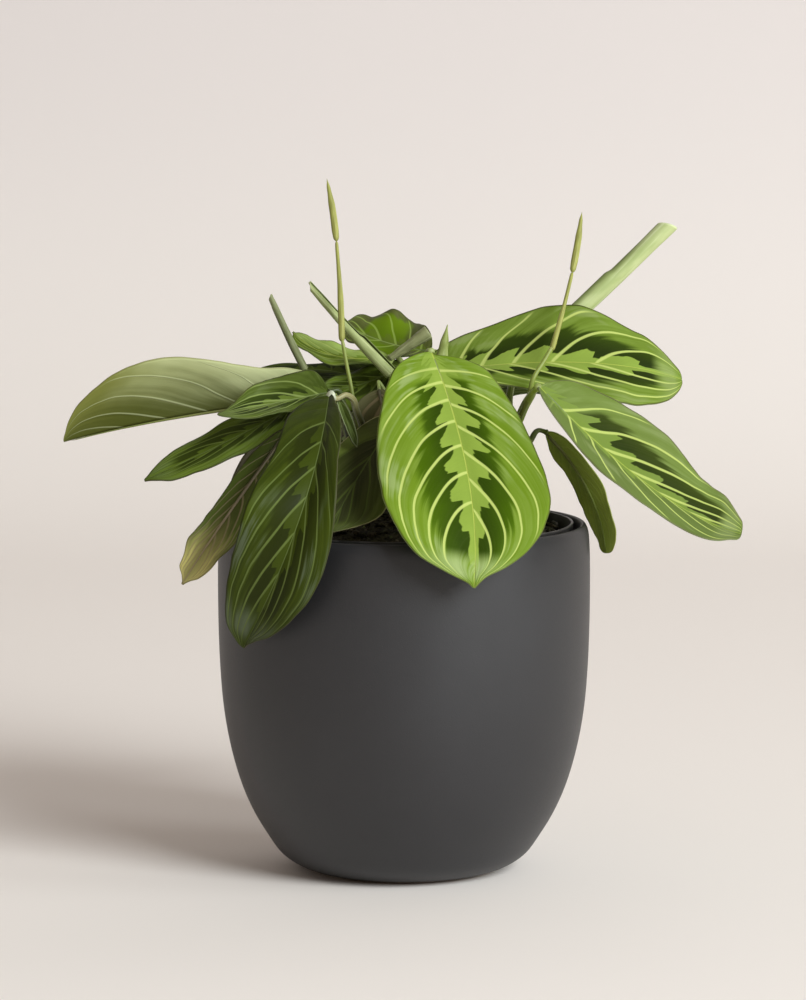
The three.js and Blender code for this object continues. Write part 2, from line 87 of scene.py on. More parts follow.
class Term:
    """One value in a material's node graph, joined to others with the usual operators."""

    def __init__(self, graph: "Graph", socket: bpy.types.NodeSocket) -> None:
        """Keeps the graph and the output socket that carries the value."""
        self.graph = graph
        self.socket = socket

    def __add__(self, other: "Value") -> "Term":
        """Adds two values."""
        return self.graph.math("ADD", self, other)

    def __sub__(self, other: "Value") -> "Term":
        """Takes the second value from the first."""
        return self.graph.math("SUBTRACT", self, other)

    def __rsub__(self, other: "Value") -> "Term":
        """Takes this value from a number."""
        return self.graph.math("SUBTRACT", other, self)

    def __mul__(self, other: "Value") -> "Term":
        """Multiplies two values."""
        return self.graph.math("MULTIPLY", self, other)

    def __pow__(self, other: "Value") -> "Term":
        """Raises this value to a power."""
        return self.graph.math("POWER", self, other)


Value = Union[Term, float]


class Graph:
    """A new material whose node graph is written as short expressions."""

    def __init__(self, name: str) -> None:
        """Makes the material with its one shader.

        Args:
            name: The material's name.
        """
        self.material = bpy.data.materials.new(name)
        self.material.use_nodes = True
        self.tree = self.material.node_tree
        self.shader = self.tree.nodes["Principled BSDF"]

    def node(self, kind: str, **settings: object) -> bpy.types.Node:
        """Adds a node.

        Args:
            kind: Its type, such as "ShaderNodeMath".
            settings: What is set on it.

        Returns:
            The node.
        """
        made = self.tree.nodes.new(kind)
        for key, value in settings.items():
            setattr(made, key, value)
        return made

    def feed(self, socket: bpy.types.NodeSocket, value: object) -> None:
        """Links a term to a socket, or writes a plain number or colour into it.

        Args:
            socket: The input.
            value: What it is given.
        """
        if isinstance(value, Term):
            self.tree.links.new(value.socket, socket)
        else:
            socket.default_value = value

    def math(self, operation: str, *values: Value) -> Term:
        """Adds a Math node.

        Args:
            operation: The node's operation, such as "ADD".
            values: Its inputs, terms or numbers.

        Returns:
            The result.
        """
        made = self.node("ShaderNodeMath", operation=operation)
        for socket, value in zip(made.inputs, values):
            self.feed(socket, value)
        return Term(self, made.outputs[0])

    def rise(self, value: Value, low: Value, high: Value) -> Term:
        """Steps smoothly from 0 to 1.

        Args:
            value: What is looked at.
            low: Where the step leaves 0.
            high: Where it reaches 1.

        Returns:
            The step.
        """
        made = self.node("ShaderNodeMapRange", interpolation_type="SMOOTHSTEP")
        for name, term in (("Value", value), ("From Min", low), ("From Max", high)):
            self.feed(made.inputs[name], term)
        return Term(self, made.outputs["Result"])

    def mix(self, share: Value, first: object, second: object) -> Term:
        """Goes from one colour to another.

        Args:
            share: How much of the second colour is taken, from 0 to 1.
            first: The colour at 0.
            second: The colour at 1.

        Returns:
            The mixed colour.
        """
        made = self.node("ShaderNodeMix", data_type="RGBA", clamp_factor=True)
        self.feed(made.inputs[0], share)
        self.feed(made.inputs[6], first)
        self.feed(made.inputs[7], second)
        return Term(self, made.outputs[2])

    def vector(self, x: Value, y: Value, z: Value) -> Term:
        """Joins three values to a vector.

        Args:
            x: The first value.
            y: The second value.
            z: The third value.

        Returns:
            The vector.
        """
        made = self.node("ShaderNodeCombineXYZ")
        for socket, value in zip(made.inputs, (x, y, z)):
            self.feed(socket, value)
        return Term(self, made.outputs[0])

    def parts(self, vector: Term) -> tuple[Term, Term, Term]:
        """Splits a vector.

        Args:
            vector: The vector.

        Returns:
            Its three values.
        """
        made = self.node("ShaderNodeSeparateXYZ")
        self.feed(made.inputs[0], vector)
        return tuple(Term(self, socket) for socket in made.outputs)

    def position(self) -> Term:
        """The point's place in the object's own coordinates, in metres."""
        return Term(self, self.node("ShaderNodeTexCoord").outputs["Object"])

    def chart(self) -> tuple[Term, Term]:
        """Reads the piece's own UV map.

        Returns:
            Its two coordinates.
        """
        made = self.node("ShaderNodeUVMap", uv_map="UVMap")
        along, across, _ = self.parts(Term(self, made.outputs["UV"]))
        return along, across

    def kept(self, name: str) -> Term:
        """A number that the mesh keeps at each of its points."""
        made = self.node("ShaderNodeAttribute", attribute_name=name)
        return Term(self, made.outputs["Fac"])

    def cloud(self, place: Term, scale: float, detail: float = 2.0, rough: float = 0.5) -> Term:
        """Smooth noise from 0 to 1.

        Args:
            place: Where it is read.
            scale: How many patches lie in one unit of length.
            detail: How many finer layers are added.
            rough: How strong those layers are.

        Returns:
            The noise.
        """
        made = self.node("ShaderNodeTexNoise")
        self.feed(made.inputs["Vector"], place)
        for name, value in (("Scale", scale), ("Detail", detail), ("Roughness", rough)):
            made.inputs[name].default_value = value
        return Term(self, made.outputs["Fac"])

    def grains(self, place: Term, scale: float) -> Term:
        """Measures how far off the nearest of many scattered points is.

        Args:
            place: Where it is read.
            scale: How many points lie in one unit of length.

        Returns:
            The distance, from 0 up.
        """
        made = self.node("ShaderNodeTexVoronoi")
        self.feed(made.inputs["Vector"], place)
        made.inputs["Scale"].default_value = scale
        return Term(self, made.outputs["Distance"])

    def chance(self, place: Term) -> Term:
        """Gives each whole-number place a random number.

        Args:
            place: The place.

        Returns:
            The number, from 0 to 1.
        """
        made = self.node("ShaderNodeTexWhiteNoise", noise_dimensions="3D")
        self.feed(made.inputs["Vector"], place)
        return Term(self, made.outputs["Value"])

    def finish(
        self,
        colour: object,
        roughness: Value,
        relief: Optional[Term] = None,
        depth_mm: float = 0.1,
        **constants: float,
    ) -> bpy.types.Material:
        """Feeds the shader and gives the material.

        Args:
            colour: The base colour.
            roughness: How matt it is.
            relief: The height of the fine relief, from 0 to 1.
            depth_mm: The height of a relief of 1, in millimetres.
            constants: Plain numbers for the shader's other sockets, with _ for a blank.

        Returns:
            The finished material.
        """
        self.feed(self.shader.inputs["Base Color"], colour)
        self.feed(self.shader.inputs["Roughness"], roughness)
        if relief is not None:
            bump = self.node("ShaderNodeBump")
            bump.inputs["Strength"].default_value = 1.0
            bump.inputs["Distance"].default_value = depth_mm * MM
            self.feed(bump.inputs["Height"], relief)
            self.tree.links.new(bump.outputs[0], self.shader.inputs["Normal"])
        for key, value in constants.items():
            self.shader.inputs[key.replace("_", " ")].default_value = value
        return self.material

    def clear_from_behind(self) -> None:
        """Makes the finished surface clear from its back, so that a backdrop never hides the plant."""
        side = self.node("ShaderNodeNewGeometry")
        both = self.node("ShaderNodeMixShader")
        self.tree.links.new(side.outputs["Backfacing"], both.inputs[0])
        self.tree.links.new(self.shader.outputs[0], both.inputs[1])
        self.tree.links.new(self.node("ShaderNodeBsdfTransparent").outputs[0], both.inputs[2])
        output = self.tree.nodes["Material Output"]
        self.tree.links.new(both.outputs[0], output.inputs["Surface"])


class Tone(Enum):
    """The record's material slots that the blades take their finish from."""

    LIME = "lime_leaf"
    GREEN = "green_leaf"
    DARK = "dark_leaf"
    OLIVE = "olive_leaf"
    PALE = "pale_leaf"


@dataclass(frozen=True)
class Growth:
    """How a blade's side veins run; the first of each pair is for the half that comes first.

    Attributes:
        veins: How many side veins leave each side of the midrib.
        crowding: The further it is below 1, the closer together the veins lie at the base.
        starts: How far all the veins are moved towards the base, in gaps between veins.
        bows: How late a vein bends forward on its way to the margin.
        sweeps: How far forward it has run when it gets there.
    """

    veins: float = 11.0
    crowding: float = 0.55
    starts: tuple[float, float] = (0.33, 0.52)
    bows: tuple[float, float] = (0.9, 1.4)
    sweeps: tuple[float, float] = (0.7, 0.8)


@dataclass(frozen=True)
class Habit:
    """The size and growth of one blade, as its finishes need them, in millimetres."""

    length: float
    width: float
    seed: float
    growth: Growth


@dataclass(frozen=True)
class VeinField:
    """The shared pattern of a blade in its own chart, as node terms.

    Attributes:
        along: From 0 at the base to 1 at the tip.
        reach: From 0 at the midrib to 1 at the margin.
        side: 0 on the half that comes first and 1 on the other.
        root: Where the vein through this place leaves the midrib.
        phase: How many veins lie between here and the base.
        upright: The same count along lines that run almost straight out, for the lobes of the band.
        share: From 0 at one vein to 1 at the next.
        line: 1 on a side vein.
        midrib: 1 on the midrib.
        margin: 1 along the margin.
        streak: Noise that runs along with the veins.
    """

    along: Term
    reach: Term
    side: Term
    root: Term
    phase: Term
    upright: Term
    share: Term
    line: Term
    midrib: Term
    margin: Term
    streak: Term


def vein_field(graph: Graph, habit: Habit, line_mm: float) -> VeinField:
    """Lays out the midrib, the curved side veins and the margin of a blade.

    Args:
        graph: The material in the making.
        habit: The blade's size and growth.
        line_mm: Half the width of a side vein at the midrib.

    Returns:
        The terms that the finishes read.
    """
    growth, seed = habit.growth, habit.seed
    along, across = graph.chart()
    side_share = across * 2.0 - 1.0
    reach = graph.math("ABSOLUTE", side_share)
    side = graph.math("GREATER_THAN", side_share, 0.0)

    def half_of(pair: tuple[float, float]) -> Term:
        """The number of a pair that holds on this half of the blade."""
        return side * (pair[1] - pair[0]) + pair[0]

    wander = graph.cloud(graph.vector(along * 3.0, side_share * 2.0, seed), 1.0, 1.0) - 0.5
    wander = wander * graph.rise(reach, 0.02, 0.4) * graph.rise(along, 0.08, 0.3)
    forward = graph.math("DIVIDE", along * along, along + 0.06)
    bow, sweep = half_of(growth.bows), half_of(growth.sweeps)
    bowed = graph.math("MAXIMUM", reach, 0.001) ** bow
    root = graph.math("MAXIMUM", along - forward * bowed * sweep + wander * 0.035, 0.001)
    start = half_of(growth.starts)
    phase = root ** growth.crowding * growth.veins + start
    lobe_root = graph.math("MAXIMUM", along - reach * 0.14, 0.001)
    upright = lobe_root ** growth.crowding * growth.veins + start
    share = graph.math("FRACT", phase)
    away = 0.5 - graph.math("ABSOLUTE", share - 0.5)
    rate = root ** (growth.crowding - 1.0) * (growth.veins * growth.crowding)
    slope_along = rate * (1.0 - bowed * sweep) * (1.0 / habit.length)
    slant = graph.math("DIVIDE", bowed, graph.math("MAXIMUM", reach, 0.05))
    slope_across = rate * forward * sweep * bow * slant * (1.0 / habit.width)
    slope = (slope_along ** 2.0 + slope_across ** 2.0) ** 0.5
    half = slope * ((1.0 - reach * 0.45) * line_mm)
    fading = (1.0 - graph.rise(reach, 0.88, 0.98)) * (1.0 - graph.rise(root, 0.7, 0.76))
    fading = fading * graph.rise(root, 0.05, 0.075)
    line = (1.0 - graph.rise(away, half * 0.45, half * 1.3)) * fading
    from_rib = graph.math("ABSOLUTE", graph.kept("from_rib"))
    narrowing = 1.0 - along * 0.5
    midrib = 1.0 - graph.rise(from_rib, narrowing * RIB_HALF_MM[0], narrowing * RIB_HALF_MM[1])
    margin = 1.0 - graph.rise(graph.kept("from_edge"), *MARGIN_MM)
    streak = graph.cloud(graph.vector(phase * 4.0, reach * 1.4, side * 7.0 + seed), 1.0, 3.0)
    return VeinField(along, reach, side, root, phase, upright, share, line, midrib, margin, streak)


@dataclass(frozen=True)
class BladeFace:
    """The upper face of a blade: a jagged pale band, dark blotches, lime veins and green, with painted sheen
    in pale patches and near the tip.

    A reach is a share of the way from the midrib to the margin, a span a share of the way from the
    base to the tip, and vein_mm half the width of a side vein where it leaves the midrib.
    """

    outer: str
    outer_light: str
    band: str
    blotch: str
    blotch_far: str
    vein: str
    midrib: str
    margin: str
    # Painted sheen: the haze colour is laid over the face as satin highlights, in pale patches and near the
    # tip.
    painted_sheen: str
    # The second half's outer tone, painted lighter or darker than the first for the light or shade on that
    # half.
    second_half_light_shade: Optional[str] = None
    painted_sheen_share: float = 0.5
    band_reach: float = 0.3
    blotch_near: float = 0.5
    blotch_reach: float = 0.55
    blotch_halves: tuple[float, float] = (1.0, 1.0)
    blotch_span: tuple[float, float] = (0.0, 0.86)
    sheen_from: float = 0.0
    tip_sheen: float = 0.0
    vein_mm: float = 0.6
    vein_share: float = 0.9
    midrib_share: float = 0.9
    base_shade: float = 0.0
    roughness: float = 0.45
    shine: float = 0.1

    def material(self, name: str, habit: Habit) -> bpy.types.Material:
        """Paints the face.

        Args:
            name: The material's name.
            habit: The blade's size and growth.

        Returns:
            The material.
        """
        graph = Graph(name)
        veins = vein_field(graph, habit, self.vein_mm)
        seed = habit.seed
        luck = graph.chance(graph.vector(veins.phase - veins.share, veins.side * 3.0, seed))
        lobe = graph.math("FRACT", veins.upright)
        lobe_luck = graph.chance(graph.vector(veins.upright - lobe, veins.side * 3.0, seed + 5.0))

        swell = graph.rise(lobe, 0.0, 0.62) * 0.55 + 0.45
        step_back = 1.0 - graph.rise(lobe, 0.8, 0.85) * 0.55
        notch = graph.cloud(graph.vector(veins.upright * 3.4, veins.side * 5.0, seed), 1.0, 2.0)
        width = (swell * step_back) * (1.15 - veins.along * 0.6) * (lobe_luck * 0.4 + 0.8) * self.band_reach
        width = width * (1.0 - graph.rise(veins.along, 0.62, 0.92) * 0.45)
        edge = width * (notch * 0.7 + 0.65)
        band = 1.0 - graph.rise(veins.reach, edge - 0.012, edge + 0.012)

        first, second = self.blotch_halves
        presence = veins.side * (second - first) + first
        grown = graph.rise(veins.along, 0.1, 0.5)
        far = grown * (self.blotch_reach - self.blotch_near) + self.blotch_near + (luck - 0.5) * 0.16
        feathered = veins.reach + (veins.streak - 0.5) * 0.36
        blotch = 1.0 - graph.rise(feathered, far - 0.06, far + 0.07)
        low, high = self.blotch_span
        blotch = blotch * graph.rise(veins.root, 0.095, 0.115)
        blotch = blotch * (1.0 - graph.rise(veins.along, high - 0.03, high + 0.04))
        blotch = blotch * graph.rise(veins.along, low - 0.05, low + 0.03) * presence

        fibres = graph.cloud(graph.vector(veins.phase * 13.0, veins.reach * 2.0, seed), 1.0, 2.0)
        patches = graph.cloud(graph.vector(veins.along * 5.0, veins.reach * 3.0, seed), 1.0, 2.0)
        half_seed = veins.side * 4.0 + seed
        sheen_cloud = graph.cloud(graph.vector(veins.along * 4.0, veins.reach * 2.6, half_seed), 1.0, 2.0)
        outer = graph.mix(graph.rise(veins.streak + patches * 0.5, 0.55, 1.0), paint(self.outer),
                          paint(self.outer_light))
        # Painted light and shade: the second half takes its own outer tone, as that half is lit or shaded.
        if self.second_half_light_shade:
            outer = graph.mix(veins.side * 0.85, outer, paint(self.second_half_light_shade))
        dark = graph.mix(graph.rise(veins.reach + patches * 0.3, 0.3, 0.8), paint(self.blotch),
                         paint(self.blotch_far))
        # Painted sheen: pale grey-green patches towards the margin and a band near the tip stand for satin
        # highlights.
        sheen_patches = graph.rise(sheen_cloud + (veins.streak - 0.5) * 0.7, 0.52, 0.72)
        sheen_patches = sheen_patches * graph.rise(veins.reach, 0.35, 0.65)
        sheen_patches = sheen_patches * graph.rise(veins.along, self.sheen_from - 0.15, self.sheen_from + 0.1)
        tip = graph.rise(veins.along, 0.83, 0.92) * (1.0 - graph.rise(veins.along, 0.94, 0.985))
        sheen_patches = graph.math("MAXIMUM", sheen_patches, tip * graph.rise(sheen_cloud, 0.35, 0.65))
        colour = graph.mix(sheen_patches * self.painted_sheen_share, outer, paint(self.painted_sheen))
        colour = graph.mix(blotch, colour, dark)
        colour = graph.mix(band * 0.95, colour, graph.mix(patches, paint(self.band), paint(self.outer_light)))
        # Painted shade: the face darkens towards its base, where the crown shades it.
        near_base = 1.0 - graph.rise(veins.along, 0.05, 0.4)
        colour = graph.mix(near_base * self.base_shade, colour, paint(self.blotch))
        colour = graph.mix(fibres * 0.14, colour, paint(self.margin))
        colour = graph.mix(veins.line * self.vein_share, colour, paint(self.vein))
        colour = graph.mix(veins.midrib * self.midrib_share, colour, paint(self.midrib))
        # Painted highlight: a whitish sheen over the pale band near the tip.
        tip_sheen = tip * (1.0 - graph.rise(veins.reach, 0.35, 0.8)) * graph.rise(fibres + sheen_cloud * 0.5, 0.5, 0.9)
        colour = graph.mix(tip_sheen * self.tip_sheen, colour, paint(self.painted_sheen))
        colour = graph.mix(veins.margin * 0.8, colour, paint(self.margin))

        quilt = graph.math("SINE", veins.share * math.pi) * (1.0 - veins.margin)
        relief = quilt * 0.55 + fibres * 0.16 - veins.midrib * 0.3
        rough = fibres * 0.16 + (self.roughness - 0.08)
        return graph.finish(colour, rough, relief, depth_mm=0.34, Specular_IOR_Level=self.shine)


@dataclass(frozen=True)
class BladeBack:
    """The underside of a blade: a paler tone that deepens towards the midrib, with light veins.

    The near tone holds at the base and turns to the far one between the two shares of turn.
    """

    near: str
    far: str
    heart: str
    vein: str
    margin: str
    heart_share: float = 0.5
    shadow: float = 0.25
    vein_mm: float = 0.5
    vein_share: float = 0.6
    midrib_share: float = 0.7
    heart_reach: float = 0.85
    rib: Optional[str] = None
    shine: float = 0.15
    turn: tuple[float, float] = (0.1, 0.95)

    def material(self, name: str, habit: Habit) -> bpy.types.Material:
        """Paints the underside.

        Args:
            name: The material's name.
            habit: The blade's size and growth.

        Returns:
            The material.
        """
        graph = Graph(name)
        veins = vein_field(graph, habit, self.vein_mm)
        fibres = graph.cloud(graph.vector(veins.phase * 11.0, veins.reach * 2.0, habit.seed), 1.0, 2.0)
        patches = graph.cloud(graph.vector(veins.along * 4.0, veins.reach * 2.0, habit.seed), 1.0, 2.0)
        tone = graph.mix(graph.rise(veins.along + patches * 0.4 - 0.2, *self.turn), paint(self.near),
                         paint(self.far))
        inward = 1.0 - graph.rise(veins.reach + (veins.streak - 0.5) * 0.5, 0.0, self.heart_reach)
        tone = graph.mix(inward * self.heart_share, tone, paint(self.heart))
        blotch = 1.0 - graph.rise(veins.reach + (veins.streak - 0.5) * 0.3, 0.45, 0.65)
        shade = graph.mix(blotch * self.shadow + fibres * 0.12, tone, paint(self.margin))
        colour = graph.mix(veins.line * self.vein_share, shade, paint(self.vein))
        colour = graph.mix(veins.midrib * self.midrib_share, colour, paint(self.vein))
        colour = graph.mix(veins.margin * 0.6, colour, paint(self.margin))
        relief = veins.line * 0.5 + fibres * 0.2
        rough = fibres * 0.15 + 0.5
        return graph.finish(colour, rough, relief, depth_mm=0.3, Specular_IOR_Level=self.shine)


@dataclass(frozen=True)
class StemSkin:
    """The skin of a stem or petiole, ribbed along its length, with a paler joint at its top."""

    low: str
    high: str
    joint: str
    joint_from: float = 0.93
    roughness: float = 0.45

    def material(self, name: str) -> bpy.types.Material:
        """Paints the skin.

        Args:
            name: The material's name.

        Returns:
            The material.
        """
        graph = Graph(name)
        along, round_it = graph.chart()
        ribs = graph.cloud(graph.vector(along * 1.5, round_it * 16.0, 0.0), 1.0, 2.0)
        flecks = graph.cloud(graph.position(), 900.0, 3.0)
        tone = graph.mix(graph.rise(along, 0.05, 0.75), paint(self.low), paint(self.high))
        tone = graph.mix(graph.rise(ribs, 0.45, 0.7) * 0.45, tone, paint(self.joint))
        tone = graph.mix(graph.rise(flecks, 0.58, 0.75) * 0.3, tone, paint(self.low))
        colour = graph.mix(graph.rise(along, self.joint_from - 0.03, self.joint_from + 0.02), tone,
                           paint(self.joint))
        rough = ribs * 0.2 + (self.roughness - 0.1)
        relief = ribs * 0.8 + flecks * 0.2
        return graph.finish(colour, rough, relief, depth_mm=0.12, Specular_IOR_Level=0.4)


@dataclass(frozen=True)
class RolledSkin:
    """A rolled young leaf: pale green with long light streaks, darker along its outer edge as painted shade
    where that edge lies on the roll.
    """

    body: str
    streak: str
    edge: str
    shade: str
    edge_shade_share: float = 0.8

    def material(self, name: str) -> bpy.types.Material:
        """Paints the roll.

        Args:
            name: The material's name.

        Returns:
            The material.
        """
        graph = Graph(name)
        along, round_it = graph.chart()
        long_streaks = graph.cloud(graph.vector(along * 1.6 + round_it * 3.0, round_it * 22.0, 1.0), 1.0, 3.0)
        broad = graph.cloud(graph.vector(along * 4.0 + round_it * 2.0, round_it * 5.0, 4.0), 1.0, 2.0)
        fine = graph.cloud(graph.vector(along * 9.0, round_it * 60.0, 2.0), 1.0, 2.0)
        tone = graph.mix(graph.rise(broad, 0.35, 0.65) * 0.8, paint(self.body), paint(self.shade))
        tone = graph.mix(graph.rise(long_streaks, 0.5, 0.7) * 0.6, tone, paint(self.streak))
        tone = graph.mix(graph.rise(fine, 0.55, 0.75) * 0.25, tone, paint(self.shade))
        # Painted shade: darker along the outer edge, where it lies on the roll.
        seam = graph.rise(round_it + (broad - 0.5) * 0.08, 0.9, 0.99)
        colour = graph.mix(seam * self.edge_shade_share, tone, paint(self.edge))
        colour = graph.mix(graph.rise(along, 0.985, 0.998) * 0.7, colour, paint(self.streak))
        rough = long_streaks * 0.2 + 0.42
        relief = long_streaks * 0.7 + fine * 0.3
        return graph.finish(colour, rough, relief, depth_mm=0.12, Specular_IOR_Level=0.25)


@dataclass(frozen=True)
class Glaze:
    """Matt charcoal glaze with a fine grain, wiped thin at the foot."""

    body: str = "18181b"
    cloud: str = "202023"
    speck: str = "1d1d1f"
    foot: str = "8a7763"
    foot_height: float = 1.4

    def material(self, name: str) -> bpy.types.Material:
        """Paints the pot.

        Args:
            name: The material's name.

        Returns:
            The material.
        """
        graph = Graph(name)
        place = graph.position()
        _, _, height = graph.parts(place)
        broad = graph.cloud(place, 18.0, 4.0, 0.6)
        grain = graph.cloud(place, 1400.0, 3.0, 0.6)
        pits = graph.grains(place, 700.0)
        tone = graph.mix(graph.rise(broad, 0.35, 0.7) * 0.5, paint(self.body), paint(self.cloud))
        tone = graph.mix((1.0 - graph.rise(pits, 0.05, 0.2)) * 0.45, tone, paint(self.speck))
        bare = 1.0 - graph.rise(height + (broad - 0.5) * 0.001, self.foot_height * 0.7 * MM,
                                self.foot_height * 1.1 * MM)
        colour = graph.mix(bare, tone, paint(self.foot))
        rough = grain * 0.12 + broad * 0.08 + 0.4
        relief = grain * 0.5 + graph.rise(pits, 0.0, 0.25) * 0.5
        return graph.finish(colour, rough, relief, depth_mm=0.05, Specular_IOR_Level=0.7)


@dataclass(frozen=True)
class Moulded:
    """Thin black moulded plastic, paler in patches along the top of its rim and faintly all over."""

    body: str = "171717"
    pale_patches: str = "55534f"
    rim_height: float = 155.6

    def material(self, name: str) -> bpy.types.Material:
        """Paints the grower's pot.

        Args:
            name: The material's name.

        Returns:
            The material.
        """
        graph = Graph(name)
        place = graph.position()
        _, _, height = graph.parts(place)
        wear = graph.cloud(place, 160.0, 4.0, 0.6)
        grain = graph.cloud(place, 2200.0, 2.0)
        # Paler in patches along the top of the rim, and faintly all over.
        lip = graph.rise(height, self.rim_height * MM, (self.rim_height + 0.9) * MM)
        colour = graph.mix(lip * graph.rise(wear, 0.35, 0.7) * 0.7 + wear * 0.08, paint(self.body),
                           paint(self.pale_patches))
        rough = wear * 0.25 + 0.3
        return graph.finish(colour, rough, grain, depth_mm=0.04, Specular_IOR_Level=0.5)


@dataclass(frozen=True)
class Crumb:
    """Crumbly potting soil, or a bit of bark or stone in it."""

    dark: str
    light: str
    grain: float = 650.0
    depth_mm: float = 0.8

    def material(self, name: str) -> bpy.types.Material:
        """Paints the crumbs.

        Args:
            name: The material's name.

        Returns:
            The material.
        """
        graph = Graph(name)
        place = graph.position()
        coarse = graph.cloud(place, self.grain * 0.25, 5.0, 0.7)
        lumps = graph.grains(place, self.grain)
        share = graph.rise(coarse * 0.8 + lumps * 0.4, 0.35, 0.8)
        colour = graph.mix(share, paint(self.dark), paint(self.light))
        rough = coarse * 0.15 + 0.8
        relief = coarse * 0.5 + lumps * 0.6
        return graph.finish(colour, rough, relief, self.depth_mm, Specular_IOR_Level=0.25)


@dataclass(frozen=True)
class StudioPaper:
    """The pale paper sweep behind and under the plant, painted darker up the wall as shade where less light
    reaches it.
    """

    floor: str = "eee8e2"
    wall: str = "dcd5d2"
    wall_shade_height: float = 420.0

    def material(self, name: str) -> bpy.types.Material:
        """Paints the sweep.

        Args:
            name: The material's name.

        Returns:
            The material.
        """
        graph = Graph(name)
        place = graph.position()
        _, _, height = graph.parts(place)
        broad = graph.cloud(place, 1.4, 2.0)
        # Painted shade: the paper darkens from the floor up the wall.
        share = graph.rise(height + (broad - 0.5) * 0.1, -0.05, self.wall_shade_height * MM)
        colour = graph.mix(share, paint(self.floor), paint(self.wall))
        paper = graph.finish(colour, 0.9, None, Specular_IOR_Level=0.1)
        graph.clear_from_behind()
        return paper


FACES: dict[Tone, BladeFace] = {
    Tone.LIME: BladeFace(
        outer="65811b", outer_light="789137", band="92aa46", blotch="253b00", blotch_far="436100",
        vein="b6c46c", midrib="a3b250", margin="5a5f30", painted_sheen="a2b27a", vein_mm=0.8, tip_sheen=0.5, shine=0.04,
        blotch_near=0.46, blotch_reach=0.48),
    Tone.GREEN: BladeFace(
        outer="435318", outer_light="5a6b2b", band="5f7326", blotch="222f06", blotch_far="33430a",
        vein="7c8c4c", midrib="7a8a4e", margin="4a4c26", painted_sheen="6b7a4c", vein_mm=0.55, painted_sheen_share=0.4,
        base_shade=0.4),
    Tone.DARK: BladeFace(
        outer="2f3b07", outer_light="3f4c0e", band="37440a", blotch="232b04", blotch_far="2b3406",
        vein="5f6e36", midrib="5f6e3a", margin="3a3f20", painted_sheen="646f5a", vein_mm=0.55, painted_sheen_share=0.6,
        sheen_from=0.5, base_shade=0.35),
    Tone.OLIVE: BladeFace(
        outer="323c19", outer_light="414b24", band="38451d", blotch="20280f", blotch_far="293317",
        vein="4c5930", midrib="525c36", margin="484a2c", painted_sheen="4d5838", vein_mm=0.4, painted_sheen_share=0.3),
    Tone.PALE: BladeFace(
        outer="55692c", outer_light="6a7c40", band="6f8642", blotch="293812", blotch_far="3a4b18",
        vein="879b5c", midrib="909f6c", margin="6c7044", painted_sheen="7f8e5c", vein_mm=0.5),
}

BACKS: dict[Tone, BladeBack] = {
    Tone.LIME: BladeBack(near="94a56c", far="87985c", heart="6f8246", vein="b4c08e", margin="66744a"),
    Tone.GREEN: BladeBack(near="6c7f3c", far="66783a", heart="55682c", vein="8d9c60", margin="4a5830"),
    Tone.DARK: BladeBack(near="5a5a3c", far="656042", heart="4c5230", vein="8c866a", margin="403f28"),
    Tone.OLIVE: BladeBack(near="a6bb4e", far="acc252", heart="8ea645", vein="aec062", margin="6a6a3c",
                          vein_share=0.2, shadow=0.12, midrib_share=0.15, rib="7c8e3a"),
    Tone.PALE: BladeBack(near="d2daa4", far="787d3a", heart="3b4307", vein="d0d9a8", margin="74733f",
                         shadow=0.04, heart_share=0.95, vein_share=0.32, heart_reach=1.12, turn=(0.25, 0.8),
                        midrib_share=0.15, rib="6e7638"),
}

# An underside that turns pale gold towards its tip: partly its own golden colour, partly painted light on the
# lit tip.
GOLDEN_BACK_LIT_TIP = BladeBack(near="586929", far="e4de8a", heart="41461e", vein="a09070", margin="4c4630",
                        shadow=0.15, vein_share=0.5, turn=(0.5, 0.88))
DUSK_LIME = replace(FACES[Tone.LIME], outer="647b28", outer_light="78903c", blotch="202e0a",
                    blotch_far="32450d", band="93ab48", margin="4a4526", painted_sheen="8e9c62", vein_mm=0.9,
                    band_reach=0.34, blotch_near=0.5, blotch_reach=0.55)
# Its second half is painted darker, as shade.
SAGE_LIME = replace(FACES[Tone.LIME], outer="657935", outer_light="738745", blotch="24320a",
                    blotch_far="33420e", margin="6e6a4c", painted_sheen="87955f", blotch_halves=(1.0, 0.06),
                    second_half_light_shade="5b6e31", band="758e30", blotch_near=0.5, blotch_reach=0.55)
SUNLIT_GREEN = replace(FACES[Tone.GREEN], outer="454c22", outer_light="535a2a", blotch="536d06",
                       blotch_far="5b7508", band="567006", vein="8ba04c", blotch_near=0.78, blotch_reach=0.82,
                       blotch_span=(0.3, 0.74), painted_sheen="5a6030", vein_share=0.6, base_shade=0.0)
# Its first half is painted darker, as shade, and its second lighter, as light.
YOUNG_LIME = replace(FACES[Tone.LIME], outer="556a14", outer_light="61761f", blotch="4f6414", band="6f8834",
                     blotch_far="586e18", second_half_light_shade="93a957", vein_mm=0.45, vein_share=0.4, tip_sheen=0.0,
                     blotch_halves=(0.5, 0.12), painted_sheen_share=0.2)
DEEP_GREEN = replace(FACES[Tone.DARK], outer="53651e", outer_light="637727", blotch="2d3808",
                     blotch_far="384513", vein="606f32", vein_mm=0.4, painted_sheen_share=0.25, sheen_from=0.0)
SHADY_GREEN = replace(FACES[Tone.DARK], outer="313f08", outer_light="3e4d0e", band="3b4a0e", blotch="1e2804",
                      blotch_far="263205", vein="48561e", vein_mm=0.4, painted_sheen_share=0.0, roughness=0.8,
                      shine=0.02)
MATT_GREEN = replace(FACES[Tone.GREEN], roughness=0.8, shine=0.02, painted_sheen_share=0.0)
THREAD_DARK = replace(FACES[Tone.DARK], margin="8d9a70", blotch_halves=(0.0, 0.0), painted_sheen_share=0.0)
